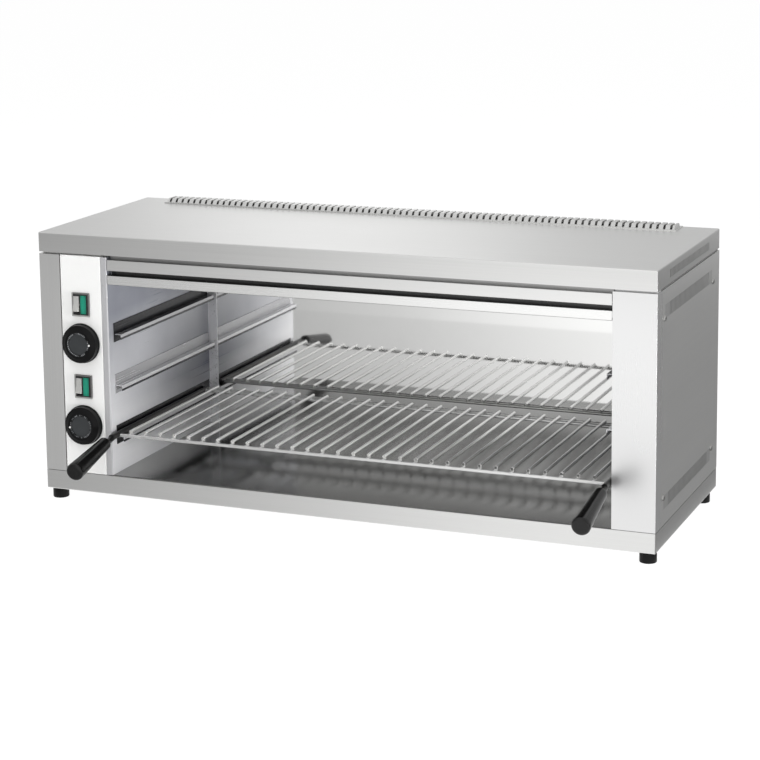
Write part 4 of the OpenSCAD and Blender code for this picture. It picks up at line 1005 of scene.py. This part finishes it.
@dataclass
class Rack:
    """Pull-out wire rack with its side rods and grips."""

    body: str = "rack"
    bar_r: float = 2.2
    wire_r: float = 2.1
    wire_z: float = 84.4
    wire_count: int = 31
    wire_pitch: float = 20.7
    first_x: float = -287.9
    front_y: float = 5.0
    front_z: float = 79.2
    rear_ys: Pair = (261.6, 251.6)
    rear_z: float = 80.6
    bar_xs: Pair = (-301.75, 346.95)
    elbow: float = 2.4
    wire_end: float = 0.6
    weld_depth: float = 0.5
    bead_r: float = 2.3
    bead_shape: tuple[float, float, float] = (1.15, 1.1, 0.45)
    rods: tuple[tuple[str, float], ...] = (("left", -305.8), ("right", 351.0))
    rod_r: float = 4.0
    rod_z: float = 79.7
    rod_back: float = 266.0
    bend_y: float = -14.0
    bend_r: float = 20.0
    slope: float = math.radians(12.0)
    grip_from: float = 13.0
    rod_in_grip: float = 58.0

    @property
    def bars(self) -> tuple[Pair, ...]:
        """Depth and height of the front bar and of both rear bars."""
        return ((self.front_y, self.front_z), *((y, self.rear_z) for y in self.rear_ys))

    @property
    def downhill(self) -> Vector:
        """The way the grips point, to the front and down."""
        return Vector((0, -math.cos(self.slope), -math.sin(self.slope)))

    def build(self) -> None:
        """Makes the rack, both rods and both grips."""
        self.grille()
        for side, x in self.rods:
            self.rod(side, x)
            self.grip(side, x)

    def wire(self) -> Piece:
        """One cross wire, from its rear end forward and down onto the front bar, with its weld beads."""
        r, end = self.wire_r, self.wire_end
        start = spot(self.first_x, self.rear_ys[0] + self.bar_r, self.wire_z)
        profile = ((r - end, 0.0), (r, end), (r, 2 * end))
        wire = turned("wire_rack_finished", profile, start, -BACK, sides=12)
        tip = start.y - 2 * end * MM
        choose_end(wire, tip)
        centre = spot(self.first_x, self.front_y + self.elbow, self.wire_z - self.elbow)
        for _ in range(2):
            extrude(0, (centre.y - tip) / 2, 0)
        bpy.ops.mesh.spin(steps=5, angle=math.pi / 2, center=centre, axis=(1, 0, 0))
        extrude(0, 0, (self.front_z + self.bar_r - self.weld_depth - self.wire_z + self.elbow) * MM)
        parts = [outwards(wire)]
        for y, z in self.bars:
            deselect()
            bpy.ops.mesh.primitive_ico_sphere_add(subdivisions=2, radius=self.bead_r * MM,
                                                  location=spot(self.first_x, y, z + self.bar_r),
                                                  scale=self.bead_shape)
            parts.append(applied(named("bead")))
        return joined("wire_rack_finished", parts)

    def grille(self) -> None:
        """All cross wires by an array, and the three bars with their rounded ends."""
        wires = modified(self.wire(), "ARRAY", count=self.wire_count, use_relative_offset=False,
                         use_constant_offset=True, constant_offset_displace=(self.wire_pitch * MM, 0, 0))
        left, right = self.bar_xs
        length = right - left
        r = self.bar_r
        profile = ((r - 1.0, 0.0), (r - 0.3, 0.35), (r, 1.0), (r, length / 2), (r, length - 1.0),
                   (r - 0.3, length - 0.35), (r - 1.0, length))
        bars = [turned("bar", profile, spot(left, y, z), RIGHT, sides=16) for y, z in self.bars]
        rack = joined("wire_rack_finished", [wires, *bars])
        dress(smoothed(rack, 50, False), Finishes.CHROME, self.body, "wire_rack")

    def rod(self, side: str, x: float) -> None:
        """Side rod: straight, then bent down by a short spin, then straight into the grip."""
        node = f"{side}_handle_rod"
        tangent = self.bend_r * math.tan(self.slope / 2)
        end = self.bend_y + tangent
        r = self.rod_r
        profile = ((r - 0.8, 0.0), (r, 0.8), (r, 2.0), (r, self.rod_back - end))
        rod = turned(f"{node}_finished", profile, spot(x, self.rod_back, self.rod_z), -BACK, sides=32)
        choose_end(rod, spot(0, end, 0).y)
        bpy.ops.mesh.spin(steps=4, angle=self.slope, center=spot(x, end, self.rod_z - self.bend_r),
                          axis=(1, 0, 0))
        extrude(*self.downhill * (self.grip_from + self.rod_in_grip - tangent) * MM)
        dress(smoothed(outwards(rod)), Finishes.ROD, self.body, node)

    def grip(self, side: str, x: float) -> None:
        """Turned grip: a lip round the rod, a slow swell and a rounded end."""
        node = f"{side}_grip"
        swell = [(8.5 + 3.0 * t ** 1.15, 18.0 + 73.0 * t) for t in (0.12, 0.25, 0.4, 0.55, 0.7, 0.85, 1.0)]
        crown = [(7.5 + 4.0 * math.cos(a), 94.0 + 4.0 * math.sin(a))
                 for a in (math.radians(d) for d in range(0, 91, 18))]
        profile = ((4.25, 17.0), (4.25, 13.4), (4.7, self.grip_from), (6.3, self.grip_from), (7.4, 13.5),
                   (8.2, 14.9), (8.5, 17.5), *swell, *crown, (4.0, 97.9), (3.5, 97.6))
        grip = turned(f"{node}_finished", profile, spot(x, self.bend_y, self.rod_z), self.downhill, sides=56)
        dress(smoothed(grip, 45), Finishes.GRIP, self.body, node)


# ---------------- studio


@dataclass
class Studio:
    """Camera, floor, light and the soft cards that the metal reflects."""

    eye: Vector = field(default_factory=lambda: Vector((1.06670, -2.56304, 0.84523)))
    yaw: float = 0.3867
    pitch: float = 0.1680
    roll: float = -0.0117
    lens: float = 105.906
    shift_y: float = -0.2105
    clip: Pair = (0.05, 200.0)
    card_z: float = 0.0012
    card_near: float = FRONT_Y - 0.012
    card_far: float = FRONT_Y - 0.62
    ambient: float = 0.55
    floor_tone: float = 0.9
    floor_glow: float = 1.2
    floor_share: float = 0.74
    strip_slope: float = 60.0

    def build(self) -> None:
        """Sets up everything that isn't part of the object."""
        self.camera()
        self.world()
        self.floor()
        self.lamps()
        self.cards()
        bpy.context.scene.view_settings.view_transform = "Standard"

    def camera(self) -> None:
        """Places the camera: turned from looking straight back, tipped down, then rolled."""
        yaw, pitch, roll = self.yaw, self.pitch, self.roll
        level = Vector((math.cos(yaw), math.sin(yaw), 0))
        ahead = Vector((-math.sin(yaw) * math.cos(pitch), math.cos(yaw) * math.cos(pitch), -math.sin(pitch)))
        above = level.cross(ahead)
        right = level * math.cos(roll) + above * math.sin(roll)
        up = above * math.cos(roll) - level * math.sin(roll)
        data = bpy.data.cameras.new("camera")
        data.lens, data.shift_y = self.lens, self.shift_y
        data.clip_start, data.clip_end = self.clip
        camera = bpy.data.objects.new("camera", data)
        bpy.context.scene.collection.objects.link(camera)
        camera.matrix_world = Matrix.Translation(self.eye) @ Matrix((right, up, -ahead)).transposed().to_4x4()
        bpy.context.scene.camera = camera

    def world(self) -> None:
        """White for what the camera and the metal see, a softer level for diffuse light."""
        bpy.context.scene.world = bpy.data.worlds.new("studio")
        g = Graph(bpy.context.scene.world)
        seen = self.rays(g, "Is Camera Ray", "Is Glossy Ray", "Is Transmission Ray")
        shine = g.node("ShaderNodeBackground", None, {"Strength": self.ambient + seen * (1 - self.ambient)})
        g.close(shine, "ShaderNodeOutputWorld")

    @staticmethod
    def rays(g: Graph, *kinds: str) -> Signal:
        """1 for rays of the named kinds, otherwise 0."""
        return sum(g.node("ShaderNodeLightPath", output=kind) for kind in kinds).clipped()

    @staticmethod
    def sheet(name: str, low: Sequence[float], high: Sequence[float], material: Material) -> Piece:
        """A flat stage piece between two corners that share one coordinate, level or facing along Y."""
        deselect()
        bpy.ops.mesh.primitive_plane_add(size=1, rotation=(math.pi / 2 if high[1] == low[1] else 0.0, 0, 0))
        piece = applied(named(name))
        piece.scale = [max(b - a, 1e-6) for a, b in zip(low, high)]
        piece.location = (Vector(low) + Vector(high)) / 2
        applied(piece).data.materials.append(material)
        return piece

    def floor(self) -> None:
        """Pale floor that keeps a light shadow and is white to the camera and to metal."""
        g = Graph("studio_floor")
        seen = self.rays(g, "Is Camera Ray", "Is Glossy Ray")
        matt = g.node("ShaderNodeBsdfDiffuse", None, {"Color": (*grey(self.floor_tone), 1)})
        white = g.node("ShaderNodeEmission", None, {"Color": (1, 1, 1, 1), "Strength": self.floor_glow})
        g.close(g.node("ShaderNodeMixShader", None, {0: seen * self.floor_share, 1: matt, 2: white}))
        self.sheet("floor", (-30, -30, 0), (30, 30, 0), g.owner)

    def lamps(self) -> None:
        """A broad overhead lamp, a front fill and a small one from the right, all square and soft."""
        middle = (0, 0, 0.15)
        for name, place, target, size, watts in (
                ("overhead", (-0.5, -0.7, 2.4), middle, 2.0, 34.0),
                ("front_fill", (0.6, -3.0, 1.3), middle, 1.6, 22.0),
                ("side_fill", (1.6, -0.40, 0.13), (-0.31, -0.05, 0.1), 0.3, 30.0)):
            data = bpy.data.lights.new(name, "AREA")
            data.shape, data.size, data.energy = "SQUARE", size, watts
            lamp = bpy.data.objects.new(name, data)
            bpy.context.scene.collection.objects.link(lamp)
            at = Vector(place)
            lamp.matrix_world = aim(at, Vector(target) - at, "-Z")
            lamp.visible_glossy = False

    def card(self, name: str, low: Sequence[float], high: Sequence[float], stops: Sequence[Pair],
             pole: Pair | None = None, dim: tuple[float, float, float] | None = None) -> None:
        """A glowing card that only reflections see.

        Args:
            name: the card's name.
            low: its lowest corner.
            high: its highest corner.
            stops: places along X in metres with the brightness there.
            pole: a point from which the brightness fans out, measured where it crosses the front face;
                without it the brightness runs straight along X.
            dim: lowest and highest height of a darker strip across the card, and how much darker it is.
        """
        g = Graph(name)
        x = g.metres(Axis.X)
        if pole:
            x = pole[0] - (pole[0] - x) * (pole[1] - FRONT_Y) / (pole[1] - g.metres(Axis.Y))
        start, run = stops[0][0], stops[-1][0] - stops[0][0]
        tone = g.node("ShaderNodeValToRGB", {"stops": [((p - start) / run, level) for p, level in stops]},
                      {"Fac": (x - start) / run})
        if dim:
            low_z, high_z, share = dim
            z = g.metres(Axis.Z)
            strip = ((z - low_z) * self.strip_slope).clipped() * ((high_z - z) * self.strip_slope).clipped()
            tone = g.mixed(strip * share, tone, grey(0.0))
        g.close(g.node("ShaderNodeEmission", None, {"Color": tone, "Strength": 1.0}))
        piece = self.sheet(name, low, high, g.owner)
        piece.visible_camera = piece.visible_diffuse = piece.visible_shadow = False
        piece.visible_transmission = False

    def cards(self) -> None:
        """Cards in front, behind and at the right."""
        pole = (self.eye.x, 2 * FRONT_Y - self.eye.y)
        front = ((-3.0, 0.55), (-1.0, 0.40), (-0.5, 0.41), (-0.3, 0.49), (-0.2, 0.56), (-0.1, 0.64),
                 (0.0, 0.74), (0.1, 0.85), (0.2, 0.95), (0.3, 1.0), (1.2, 1.0))
        lifted = [(place, tone * (1.08 if place < -0.05 else 1.16)) for place, tone in front]
        behind = ((-4.0, 0.75), (-2.2, 0.62), (-1.6, 0.62), (-1.42, 0.71), (-1.24, 0.92), (-1.05, 1.03),
                  (-0.9, 1.06), (-0.65, 0.97), (-0.5, 0.84), (-0.4, 0.71), (-0.28, 0.65), (-0.1, 0.61),
                  (3.0, 0.6))
        corner = (-3, self.card_far, self.card_z)
        self.card("front_card", corner, (0.6, self.card_far, 1.7), lifted, pole, (0.245, 0.335, 0.6))
        self.card("front_floor_card", corner, (0.6, self.card_near, self.card_z), front, pole)
        self.card("rear_card", (-4, 2, 0), (3, 2, 3.6), behind)
        self.card("right_floor_card", (0.42, -0.16, self.card_z), (3.2, 1.99, self.card_z),
                  ((0.42, 0.28), (3.2, 0.30)))


# ---------------- main


def main() -> None:
    """Builds the object and its studio in order and reports each piece."""
    logging.basicConfig(level=logging.INFO, format="%(message)s")
    for assembly in (Casing(), Controls(), Cavity(), Rack(), Studio()):
        LOG.info("building %s", type(assembly).__name__)
        assembly.build()
    deselect()


if __name__ == "__main__":
    main()
